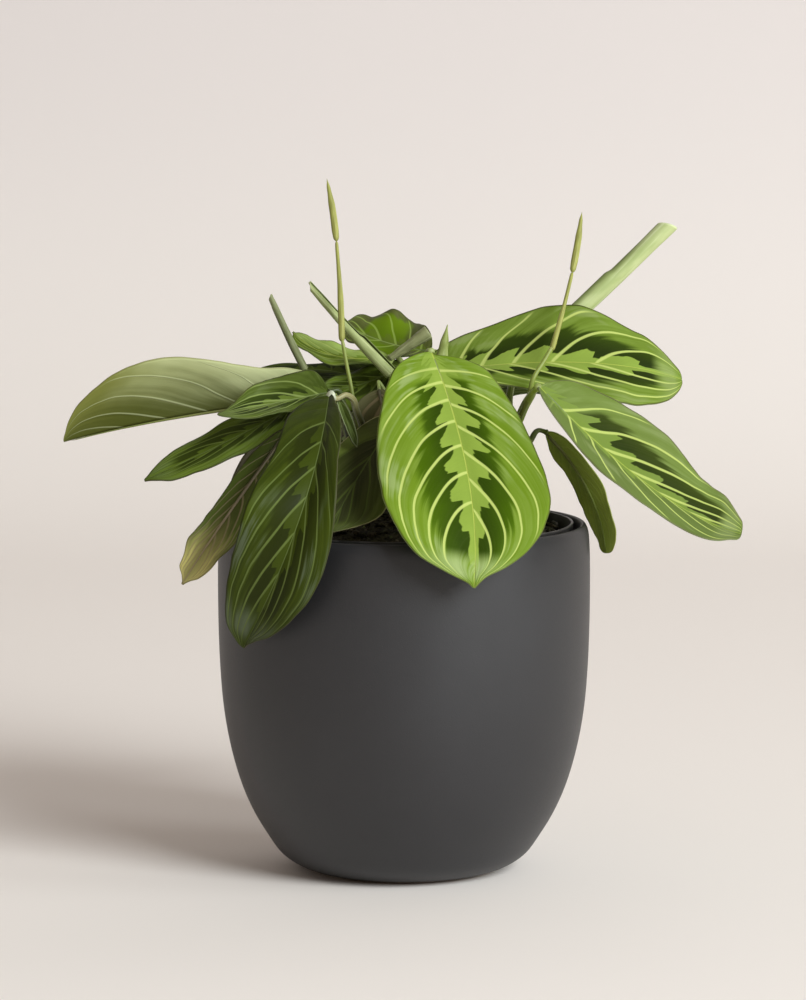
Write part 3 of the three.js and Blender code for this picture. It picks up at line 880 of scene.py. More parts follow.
MOSS_DARK = replace(FACES[Tone.DARK], outer="46551a", outer_light="5a6b24", band="3a470e", blotch="28320c",
                    blotch_far="3a480a", vein="5e6e32", margin="c0c08a", sheen_from=0.0,
                    painted_sheen_share=0.2, blotch_near=0.8, blotch_reach=0.78, base_shade=0.85,
                    second_half_light_shade="86a040", band_reach=0.03)
DEEP_BACK = BladeBack(near="3b490e", far="45540f", heart="323e0c", vein="5f6e30", margin="333c12",
                      shadow=0.1, shine=0.05)
PINK_BACK = BladeBack(near="7c7c56", far="72704a", heart="60623a", vein="a29472", margin="484830",
                      shadow=0.1, vein_mm=1.0, vein_share=0.8)


# ---------------------------------------------------------------- meshes


def clear_selection() -> None:
    """Deselects every object, so that an operator acts on the new piece alone."""
    for chosen in list(bpy.context.selected_objects):
        chosen.select_set(False)


def choose(piece: bpy.types.Object) -> None:
    """Makes one piece the only one that is selected, and the active one.

    Args:
        piece: The piece.
    """
    clear_selection()
    piece.select_set(True)
    bpy.context.view_layer.objects.active = piece


def sheet(
    name: str,
    steps: tuple[int, int],
    place: Place,
) -> bpy.types.Object:
    """Makes a grid and moves its points to where they belong.

    Args:
        name: The piece's name.
        steps: The number of squares along and across.
        place: Gives a point in millimetres for two shares from 0 to 1, which are also its chart.

    Returns:
        The new piece, smooth shaded.
    """
    clear_selection()
    bpy.ops.mesh.primitive_grid_add(x_subdivisions=steps[0], y_subdivisions=steps[1], size=2)
    piece = bpy.context.active_object
    piece.name = name
    mesh = piece.data
    mesh.name = name
    shares = [((v.co.x + 1) / 2, (v.co.y + 1) / 2) for v in mesh.vertices]
    for vertex, (along, across) in zip(mesh.vertices, shares):
        vertex.co = place(along, across) * MM
    layer = mesh.uv_layers.active
    layer.name = "UVMap"
    for loop in mesh.loops:
        layer.data[loop.index].uv = shares[loop.vertex_index]
    bpy.ops.object.shade_smooth()
    mesh.update()
    return piece


def close_shell(piece: bpy.types.Object) -> None:
    """Merges the seam and the ends of a closed piece and turns its faces outwards.

    Args:
        piece: The piece.
    """
    choose(piece)
    bpy.ops.object.mode_set(mode="EDIT")
    bpy.ops.mesh.select_all(action="SELECT")
    bpy.ops.mesh.remove_doubles(threshold=MERGE_DISTANCE)
    bpy.ops.mesh.normals_make_consistent(inside=False)
    bpy.ops.object.mode_set(mode="OBJECT")


def thicken(piece: bpy.types.Object, thickness: float, back_slot: int = 0) -> None:
    """Gives a sheet its thickness, half on each side.

    Args:
        piece: The sheet.
        thickness: In millimetres.
        back_slot: How many slots on the underside's material is.
    """
    choose(piece)
    solid = piece.modifiers.new("thickness", "SOLIDIFY")
    solid.thickness = thickness * MM
    solid.offset = 0
    solid.material_offset = back_slot
    solid.material_offset_rim = back_slot
    bpy.ops.object.modifier_apply(modifier=solid.name)


def join(pieces: list[bpy.types.Object], name: str) -> bpy.types.Object:
    """Joins several pieces to one with a name of its own.

    Args:
        pieces: The pieces.
        name: The new piece's name.

    Returns:
        The new piece.
    """
    clear_selection()
    for piece in pieces:
        piece.select_set(True)
    bpy.context.view_layer.objects.active = pieces[0]
    if len(pieces) > 1:
        bpy.ops.object.join()
    made = bpy.context.view_layer.objects.active
    made.name = name
    made.data.name = name
    return made


def dress(piece: bpy.types.Object, *materials: bpy.types.Material) -> bpy.types.Object:
    """Puts materials into a piece's slots, in order.

    Args:
        piece: The piece.
        materials: Its materials.

    Returns:
        The same piece.
    """
    piece.data.materials.clear()
    for material in materials:
        piece.data.materials.append(material)
    return piece


def hand_over(piece: bpy.types.Object, slot: str, *nodes: str) -> None:
    """Lets a piece ride on the part and stand for its nodes.

    Args:
        piece: The finished piece.
        slot: The record's material slot; not used.
        nodes: The solids that it stands for.
    """
    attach(piece, BODY)
    if nodes:
        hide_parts(*nodes)
    log.info("%s: %d faces, stands for %s", piece.name, len(piece.data.polygons), ", ".join(nodes) or "-")


class Path:
    """A smooth line through points, with a steady frame at each place on it."""

    def __init__(self, points: list[Vector], samples: int = 48) -> None:
        """Samples the line and carries a side direction along it.

        Args:
            points: In millimetres.
            samples: How many straight pieces stand for the line.
        """
        self.spots = [self.through(points, i / samples) for i in range(samples + 1)]
        self.ahead = []
        for i in range(samples + 1):
            before, after = self.spots[max(i - 1, 0)], self.spots[min(i + 1, samples)]
            self.ahead.append((after - before).normalized())
        start = Vector((0, 0, 1)) if abs(self.ahead[0].z) < 0.9 else Vector((1, 0, 0))
        side = self.ahead[0].cross(start).normalized()
        self.sides = [side]
        for i in range(1, samples + 1):
            turn = self.ahead[i - 1].rotation_difference(self.ahead[i])
            side = turn @ side
            self.sides.append((side - self.ahead[i] * side.dot(self.ahead[i])).normalized())

    @staticmethod
    def through(points: list[Vector], share: float) -> Vector:
        """Finds a point of the centripetal curve through the given points.

        Args:
            points: Two points or more.
            share: How far along the curve, from 0 to 1.

        Returns:
            The point.
        """
        last = len(points) - 1
        where = min(share * last, last - 1e-9)
        i = int(where)
        inner = where - i
        p1, p2 = points[i], points[i + 1]
        p0 = points[i - 1] if i > 0 else p1 * 2 - p2
        p3 = points[i + 2] if i + 2 <= last else p2 * 2 - p1
        gaps = [max((b - a).length, 1e-6) ** 0.5 for a, b in ((p0, p1), (p1, p2), (p2, p3))]
        t1 = gaps[0]
        t2 = t1 + gaps[1]
        t3 = t2 + gaps[2]
        t = t1 + inner * gaps[1]
        a1 = p0 * ((t1 - t) / t1) + p1 * (t / t1)
        a2 = p1 * ((t2 - t) / (t2 - t1)) + p2 * ((t - t1) / (t2 - t1))
        a3 = p2 * ((t3 - t) / (t3 - t2)) + p3 * ((t - t2) / (t3 - t2))
        b1 = a1 * ((t2 - t) / t2) + a2 * (t / t2)
        b2 = a2 * ((t3 - t) / (t3 - t1)) + a3 * ((t - t1) / (t3 - t1))
        return b1 * ((t2 - t) / (t2 - t1)) + b2 * ((t - t1) / (t2 - t1))

    def around(self, share: float, turn: float, radius: float) -> Vector:
        """A point beside the line.

        Args:
            share: How far along, from 0 to 1.
            turn: How far round, from 0 to 1.
            radius: How far out, in millimetres.

        Returns:
            The point.
        """
        where = min(max(share, 0.0), 1.0) * (len(self.spots) - 1)
        i = min(int(where), len(self.spots) - 2)
        inner = where - i
        spot = self.spots[i].lerp(self.spots[i + 1], inner)
        ahead = self.ahead[i].lerp(self.ahead[i + 1], inner).normalized()
        side = self.sides[i].lerp(self.sides[i + 1], inner)
        side = (side - ahead * side.dot(ahead)).normalized()
        up = side.cross(ahead)
        angle = 2 * math.pi * turn
        return spot + side * (radius * math.cos(angle)) + up * (radius * math.sin(angle))


def between(stops: list[tuple[float, float]], share: float) -> float:
    """Reads a value between stops, eased from one to the next.

    Args:
        stops: Pairs of a share and its value, in rising order.
        share: Where the value is read.

    Returns:
        The value.
    """
    for (low, first), (high, second) in zip(stops, stops[1:]):
        if share <= high:
            return first + (second - first) * eased(share, low, high)
    return stops[-1][1]


def limb(
    name: str,
    points: list[Vector],
    stops: list[tuple[float, float]],
    material: bpy.types.Material,
    steps: tuple[int, int] = (40, 12),
) -> bpy.types.Object:
    """Makes a round limb along a line, with rounded ends.

    Args:
        name: The piece's name.
        points: The line, in millimetres.
        stops: Radii at shares of its length.
        material: Its skin.
        steps: Squares along and round it.

    Returns:
        The closed piece.
    """
    path = Path(points)

    def place(along: float, turn: float) -> Vector:
        """A point of the limb's skin."""
        end = 1 - (2 * abs(along - 0.5)) ** ROUND_ENDS
        return path.around(along, turn, between(stops, along) * math.sqrt(max(end, 0.0)))

    piece = sheet(name, steps, place)
    close_shell(piece)
    return dress(piece, material)


# ---------------------------------------------------------------- the pots


@dataclass
class RoundPot:
    """A vessel drawn up from its foot, ring by ring, outside and then inside."""

    name: str
    node: str
    slot: str
    rings: list[tuple[float, float]]
    sides: int = 128
    rounding: float = 1.2
    rounding_steps: int = 3
    rounded_from: float = 40.0
    smooth_up_to: float = 35.0

    def build(self, material: bpy.types.Material) -> bpy.types.Object:
        """Extrudes and scales a circle through the rings and closes it.

        Args:
            material: The vessel's finish.

        Returns:
            The finished piece.
        """
        clear_selection()
        radius, height = self.rings[0]
        bpy.ops.mesh.primitive_circle_add(
            vertices=self.sides, radius=radius * MM, location=(0, 0, 0), fill_type="NGON")
        piece = bpy.context.active_object
        piece.name = self.name
        piece.data.name = self.name
        bpy.ops.object.mode_set(mode="EDIT")
        bpy.ops.mesh.select_all(action="SELECT")
        bpy.ops.transform.translate(value=(0, 0, height * MM))
        for next_radius, next_height in self.rings[1:]:
            bpy.ops.mesh.extrude_region_move(
                TRANSFORM_OT_translate={"value": (0, 0, (next_height - height) * MM)})
            size = next_radius / radius
            bpy.ops.transform.resize(value=(size, size, 1), center_override=(0, 0, next_height * MM))
            radius, height = next_radius, next_height
        bpy.ops.mesh.select_all(action="SELECT")
        bpy.ops.mesh.normals_make_consistent(inside=False)
        bpy.ops.object.mode_set(mode="OBJECT")
        bpy.ops.object.shade_smooth()
        bevel = piece.modifiers.new("soft_edges", "BEVEL")
        bevel.width = self.rounding * MM
        bevel.segments = self.rounding_steps
        bevel.limit_method = "ANGLE"
        bevel.angle_limit = math.radians(self.rounded_from)
        bpy.ops.object.modifier_apply(modifier=bevel.name)
        bpy.ops.object.shade_smooth_by_angle(angle=math.radians(self.smooth_up_to))
        dress(piece, material)
        hand_over(piece, self.slot, self.node)
        return piece


def smooth_profile(points: list[tuple[float, float]], steps: int) -> list[tuple[float, float]]:
    """Adds rings on a smooth curve through the given ones.

    Args:
        points: The radius and height of each given ring, in millimetres.
        steps: How many rings lead from one to the next.

    Returns:
        All the rings.
    """
    path = [Vector((radius, 0, height)) for radius, height in points]
    total = steps * (len(points) - 1)
    spots = [Path.through(path, i / total) for i in range(total + 1)]
    return [(max(spot.x, 0.01), spot.z) for spot in spots]


@dataclass
class CeramicPot:
    """The round charcoal pot: a small flat foot, a full belly and a soft rolled rim."""

    belly: list[tuple[float, float]] = field(default_factory=lambda: [
        (38.5, 0), (48, 3), (55.5, 8), (61.3, 16), (67.3, 26), (72.6, 38), (77.3, 54), (80.6, 72),
        (82.3, 92), (83.1, 120), (82.8, 147), (82, 153.5), (80.4, 156), (78.9, 155.2), (78.1, 151)])
    inside: list[tuple[float, float]] = field(default_factory=lambda: [
        (78.1, 110), (75.6, 72), (67.6, 38), (56.3, 16), (50.5, 9), (47, 8)])

    def build(self) -> None:
        """Makes the pot and dresses it in its glaze."""
        rings = smooth_profile(self.belly, 4) + self.inside
        pot = RoundPot("glazed_pot", "pot", "charcoal_ceramic", rings, sides=160, rounding=0.6)
        pot.build(Glaze().material("charcoal_glaze"))


@dataclass
class GrowersPot:
    """The thin black pot that stands inside, with its turned-out rim band."""

    base_radius: float = 48.0
    rim_radius: float = 75.6
    floor: float = 8.3
    band_low: float = 144.0
    top: float = 156.5
    wall: float = 1.2

    def build(self) -> None:
        """Makes the pot and dresses it in black plastic."""
        band = self.rim_radius - self.wall
        rings = [
            (self.base_radius, self.floor),
            (band, self.band_low),
            (self.rim_radius, self.band_low + 1),
            (self.rim_radius, self.top),
            (self.rim_radius - self.wall, self.top),
            (band - self.wall, self.band_low),
            (self.base_radius - self.wall, self.floor + self.wall),
        ]
        pot = RoundPot("growers_pot", "nursery_pot", "black_plastic", rings, sides=128, rounding=0.35)
        pot.build(Moulded().material("black_plastic_wall"))


# ---------------------------------------------------------------- the soil


@dataclass
class PottingSoil:
    """The heaped soil with its crumbs, bits of bark and pale grit."""

    edge_radius: float = 72.6
    floor: float = 10.0
    floor_radius: float = 46.0
    bits: int = 620
    bits_radius: float = 71.0
    bit_weights: tuple[int, int, int, int] = (36, 40, 11, 13)
    lump_height: float = 1.5
    settled: float = 1.6
    rim_share: float = 0.82
    seed: int = 7

    def height(self, x: float, y: float) -> float:
        """Gives the height of the soil's rough surface.

        Args:
            x: How far to the right of the middle, in millimetres.
            y: How far behind the middle, in millimetres.

        Returns:
            The height in millimetres.
        """
        radius = math.hypot(x, y)
        heap = between([(0, 162), (28, 161.2), (50, 159.3), (66, 155.6), (72.7, 150)], radius)
        lumps = noise.fractal(Vector((x, y, 0)) * 0.16, 0.9, 2.1, 4)
        return heap - self.settled + lumps * self.lump_height

    def _top(self) -> bpy.types.Object:
        """Makes the soil's body, a rough heap on a plain tapered block.

        Returns:
            The piece.
        """
        rim = self.rim_share

        def place(out: float, turn: float) -> Vector:
            """Gives a point of the heap or of the block under it.

            Args:
                out: From 0 at the top's middle over the rim's share at the edge to 1 under the block.
                turn: How far round, from 0 to 1.

            Returns:
                The point in millimetres.
            """
            angle = 2 * math.pi * turn
            if out <= rim:
                radius = self.edge_radius * out / rim
                x, y = radius * math.cos(angle), radius * math.sin(angle)
                return Vector((x, y, self.height(x, y)))
            down = min((out - rim) / (1 - rim) * 1.25, 1)
            inward = max((out - rim) / (1 - rim) * 1.25 - 1, 0) / 0.25
            radius = (self.edge_radius + (self.floor_radius - self.edge_radius) * down) * (1 - inward)
            level = self.height(self.edge_radius, 0) * (1 - down) + self.floor * down
            return Vector((radius * math.cos(angle), radius * math.sin(angle), level))

        body = sheet("soil_heap", (90, 160), place)
        close_shell(body)
        return dress(body, Crumb("12110b", "56523e").material("potting_soil_crumb"))

    def _bit(self, kind: int, skins: list[bpy.types.Material]) -> bpy.types.Object:
        """Models one angular bit at the origin, from a coarse ball.

        Args:
            kind: The bit's number, which also sets its shape.
            skins: The finishes of all the kinds.

        Returns:
            The bit.
        """
        clear_selection()
        bpy.ops.mesh.primitive_ico_sphere_add(subdivisions=1, radius=1.0, location=(0, 0, 0))
        bit = bpy.context.active_object
        rough = random.Random(kind)
        for vertex in bit.data.vertices:
            vertex.co *= rough.uniform(0.75, 1.15)
        bit.data.name = f"soil_bit_{kind}"
        return dress(bit, skins[kind])

    def _scatter(self) -> bpy.types.Object:
        """Copies the bits over the heap and joins them.

        Returns:
            The piece that holds all the bits.
        """
        skins = [
            Crumb("1f1a12", "625a46", 900).material("bark_bit"),
            Crumb("12110c", "464335", 900).material("peat_bit"),
            Crumb("6f6653", "a29a85", 700, 0.3).material("grit_bit"),
            Crumb("3c4630", "78825a", 700, 0.4).material("moss_bit"),
        ]
        patterns = [self._bit(kind, skins) for kind in range(len(skins))]
        spread = random.Random(self.seed)
        copies = []
        for index in range(self.bits):
            kind = spread.choices(range(len(skins)), weights=self.bit_weights)[0]
            radius = self.bits_radius * math.sqrt(spread.random())
            angle = spread.uniform(0, 2 * math.pi)
            x, y = radius * math.cos(angle), radius * math.sin(angle)
            size = spread.uniform(0.7, 2.6) if kind < 2 else spread.uniform(0.5, 1.2)
            shape = Vector((size * spread.uniform(1.0, 2.2), size, size * spread.uniform(0.4, 0.8)))
            turn = Euler([spread.uniform(-0.5, 0.5), spread.uniform(-0.5, 0.5), spread.uniform(0, 6.3)])
            spot = Vector((x, y, self.height(x, y) + size * 0.15)) * MM
            copy = patterns[kind].copy()
            copy.data = patterns[kind].data.copy()
            copy.name = f"soil_bit_copy_{index}"
            bpy.context.scene.collection.objects.link(copy)
            copy.data.transform(
                Matrix.Translation(spot) @ turn.to_matrix().to_4x4() @ Matrix.Diagonal((*(shape * MM), 1)))
            copies.append(copy)
        for pattern in patterns:
            bpy.data.objects.remove(pattern)
        return join(copies, "soil_bits")

    def build(self) -> None:
        """Makes the heap and what lies on it."""
        hand_over(self._top(), "potting_soil", "soil")
        hand_over(self._scatter(), "potting_soil")


# ---------------------------------------------------------------- the blades


def at(x: float, y: float, z: float) -> Vector:
    """A point in millimetres."""
    return Vector((x, y, z))


def oval(width: float) -> tuple[float, ...]:
    """The half-widths of a plain oval blade half, from base to tip."""
    shares = (0.02, 0.25, 0.46, 0.64, 0.79, 0.9, 0.97, 1, 0.97, 0.89, 0.76, 0.58, 0.34, 0.1, 0.02)
    return tuple(share * width for share in shares)


def smooth_row(values: tuple[float, ...], share: float) -> float:
    """Reads evenly spaced values between their places, without overshooting them.

    Args:
        values: The values from share 0 to share 1.
        share: Where they are read.

    Returns:
        The value there.
    """
    last = len(values) - 1
    place = min(max(share, 0.0), 1.0) * last
    i = min(int(place), last - 1)
    steps = [after - before for before, after in zip(values, values[1:])]

    def slope(j: int) -> float:
        """Gives the slope at one of the places.

        Args:
            j: The place's number.

        Returns:
            The slope.
        """
        if j in (0, last):
            outer, inner = (steps[0], steps[1]) if j == 0 else (steps[-1], steps[-2])
            return 1.5 * outer - 0.5 * inner if outer * (3 * outer - inner) > 0 else 0.0
        before, after = steps[j - 1], steps[j]
        return 2 * before * after / (before + after) if before * after > 0 else 0.0

    x = place - i
    return (values[i] * (1 + 2 * x) * (1 - x) ** 2 + slope(i) * x * (1 - x) ** 2
            + values[i + 1] * x * x * (3 - 2 * x) + slope(i + 1) * x * x * (x - 1))


@dataclass
class Blade:
    """A leaf blade: a bent midrib, two folded and curled halves and a waved margin.

    Sizes are in millimetres, folds and curls in degrees and phases in whole waves.
    The first of each pair of sizes is for the half on the left when the blade is seen from its
    base with its face up, and the second is for the other half. The half-widths are given row by
    row, and the rows lie closer together towards the base and the tip.
    """

    tone: Tone
    base: Vector
    mid: Vector
    tip: Vector
    face: Vector
    fold: tuple[float, float]
    curl: tuple[float, float]
    wave_height: float
    waves: float
    phase: tuple[float, float]
    halves: tuple[tuple[float, ...], tuple[float, ...]]
    arrive: Optional[Vector] = None
    growth: Growth = Growth()
    face_finish: Optional[BladeFace] = None
    back_finish: Optional[BladeBack] = None
    thickness: float = 0.5
    fray: float = 0.3
    steps: tuple[int, int] = (112, 40)
    ridge_drop: float = 0.45

    @staticmethod
    def crossing(row: float) -> float:
        """The share of the midrib's length at which a row crosses it."""
        return (1 - math.cos(math.pi * row)) / 2

    def width(self, half: int, row: float) -> float:
        """Gives the half-width, with the margin's small unevenness.

        Args:
            half: 0 or 1, for the half that comes first or second.
            row: From 0 at the base to 1 at the tip.

        Returns:
            The half-width in millimetres.
        """
        plain = smooth_row(self.halves[half], row)
        place = Vector((self.crossing(row) * 17 + self.tip.x, half * 9.0, self.base.z))
        return max(plain + noise.noise(place) * self.fray * min(plain / 5, 1), 0.3)

    def rib(self, s: float) -> Vector:
        """A point of the midrib."""
        start, middle, end = (1 - s) * (1 - 2 * s), 4 * s * (1 - s), s * (2 * s - 1)
        return self.base * start + self.mid * middle + self.tip * end

    def axes(self, s: float) -> tuple[Vector, Vector, Vector]:
        """Finds the directions along the midrib, across it and out of the face.

        Args:
            s: The share of the midrib's length.

        Returns:
            The three directions.
        """
        along = (self.base * (4 * s - 3) + self.mid * (4 - 8 * s) + self.tip * (4 * s - 1)).normalized()
        side = along.cross(self.face).normalized()
        return along, side, side.cross(along)

    def spot(self, s: float, t: float, width: float) -> Vector:
        """A point of the blade's middle surface.

        Args:
            s: The share of the midrib's length.
            t: From -1 at one margin to 1 at the other.
            width: The half-width there, in millimetres.

        Returns:
            The point in millimetres.
        """
        _, side, up = self.axes(s)
        half = 0 if t < 0 else 1
        reach = abs(t) * width
        curl = math.radians(self.curl[half]) / max(self.halves[half])
        angle = math.radians(self.fold[half]) + curl * reach / 2
        ripple = math.sin(2 * math.pi * (self.waves * s + self.phase[half]))
        lift = self.wave_height * t * t * ripple * max(math.sin(math.pi * s), 0) ** 0.7
        sign = math.copysign(1, t) if t else 0
        return self.rib(s) + side * (sign * reach * math.cos(angle)) + up * (reach * math.sin(angle) + lift)

    def habit(self, seed: float) -> Habit:
        """The size and growth that the finishes need."""
        length = (self.mid - self.base).length + (self.tip - self.mid).length
        return Habit(length, sum(max(half) for half in self.halves) / 2, seed, self.growth)

    def _surface(self, name: str) -> bpy.types.Object:
        """Lays a grid on the middle surface, with its chart and its distances from rib and margin.

        Args:
            name: The piece's name.

        Returns:
            The piece, still without thickness.
        """
        clear_selection()
        rows, columns = self.steps
        bpy.ops.mesh.primitive_grid_add(x_subdivisions=rows, y_subdivisions=columns, size=2)
        piece = bpy.context.active_object
        piece.name = name
        mesh = piece.data
        from_rib = mesh.attributes.new("from_rib", "FLOAT", "POINT")
        from_edge = mesh.attributes.new("from_edge", "FLOAT", "POINT")
        charted = []
        for vertex in mesh.vertices:
            row, t = (vertex.co.x + 1) / 2, -vertex.co.y
            s = self.crossing(row)
            width = self.width(0 if t < 0 else 1, row)
            from_rib.data[vertex.index].value = t * width
            from_edge.data[vertex.index].value = (1 - abs(t)) * width
            charted.append((s, (1 + t) / 2))
            vertex.co = self.spot(s, t, width) * MM
        layer = mesh.uv_layers.active
        layer.name = "UVMap"
        for loop in mesh.loops:
            layer.data[loop.index].uv = charted[loop.vertex_index]
        bpy.ops.object.shade_smooth()
        return piece

    def build(self, name: str, node: str, seed: float) -> None:
        """Makes the blade with the raised midrib under it.

        Args:
            name: The piece's name.
            node: The solid that it stands for, or nothing for a small blade without one.
            seed: Sets how its pattern varies.
        """
        piece = self._surface(name)
        habit = self.habit(seed)
        finish = self.face_finish or FACES[self.tone]
        back = self.back_finish or BACKS[self.tone]
        dress(piece, finish.material(name + "_face", habit), back.material(name + "_back", habit))
        thicken(piece, self.thickness, 1)
        rib = back.rib or back.vein
        skin = StemSkin(back.margin, rib, rib, 2.0).material(name + "_rib")
        under = [self.rib(s) - self.axes(s)[2] * self.ridge_drop for s in (0.0, 0.2, 0.4, 0.6, 0.8, 0.97)]
        ridge = limb(name + "_ridge", under, [(0, 1.0), (0.15, 0.75), (1, 0.2)], skin, (30, 8))
        whole = join([piece, ridge], name)
        hand_over(whole, self.tone.value, *([node] if node else []))


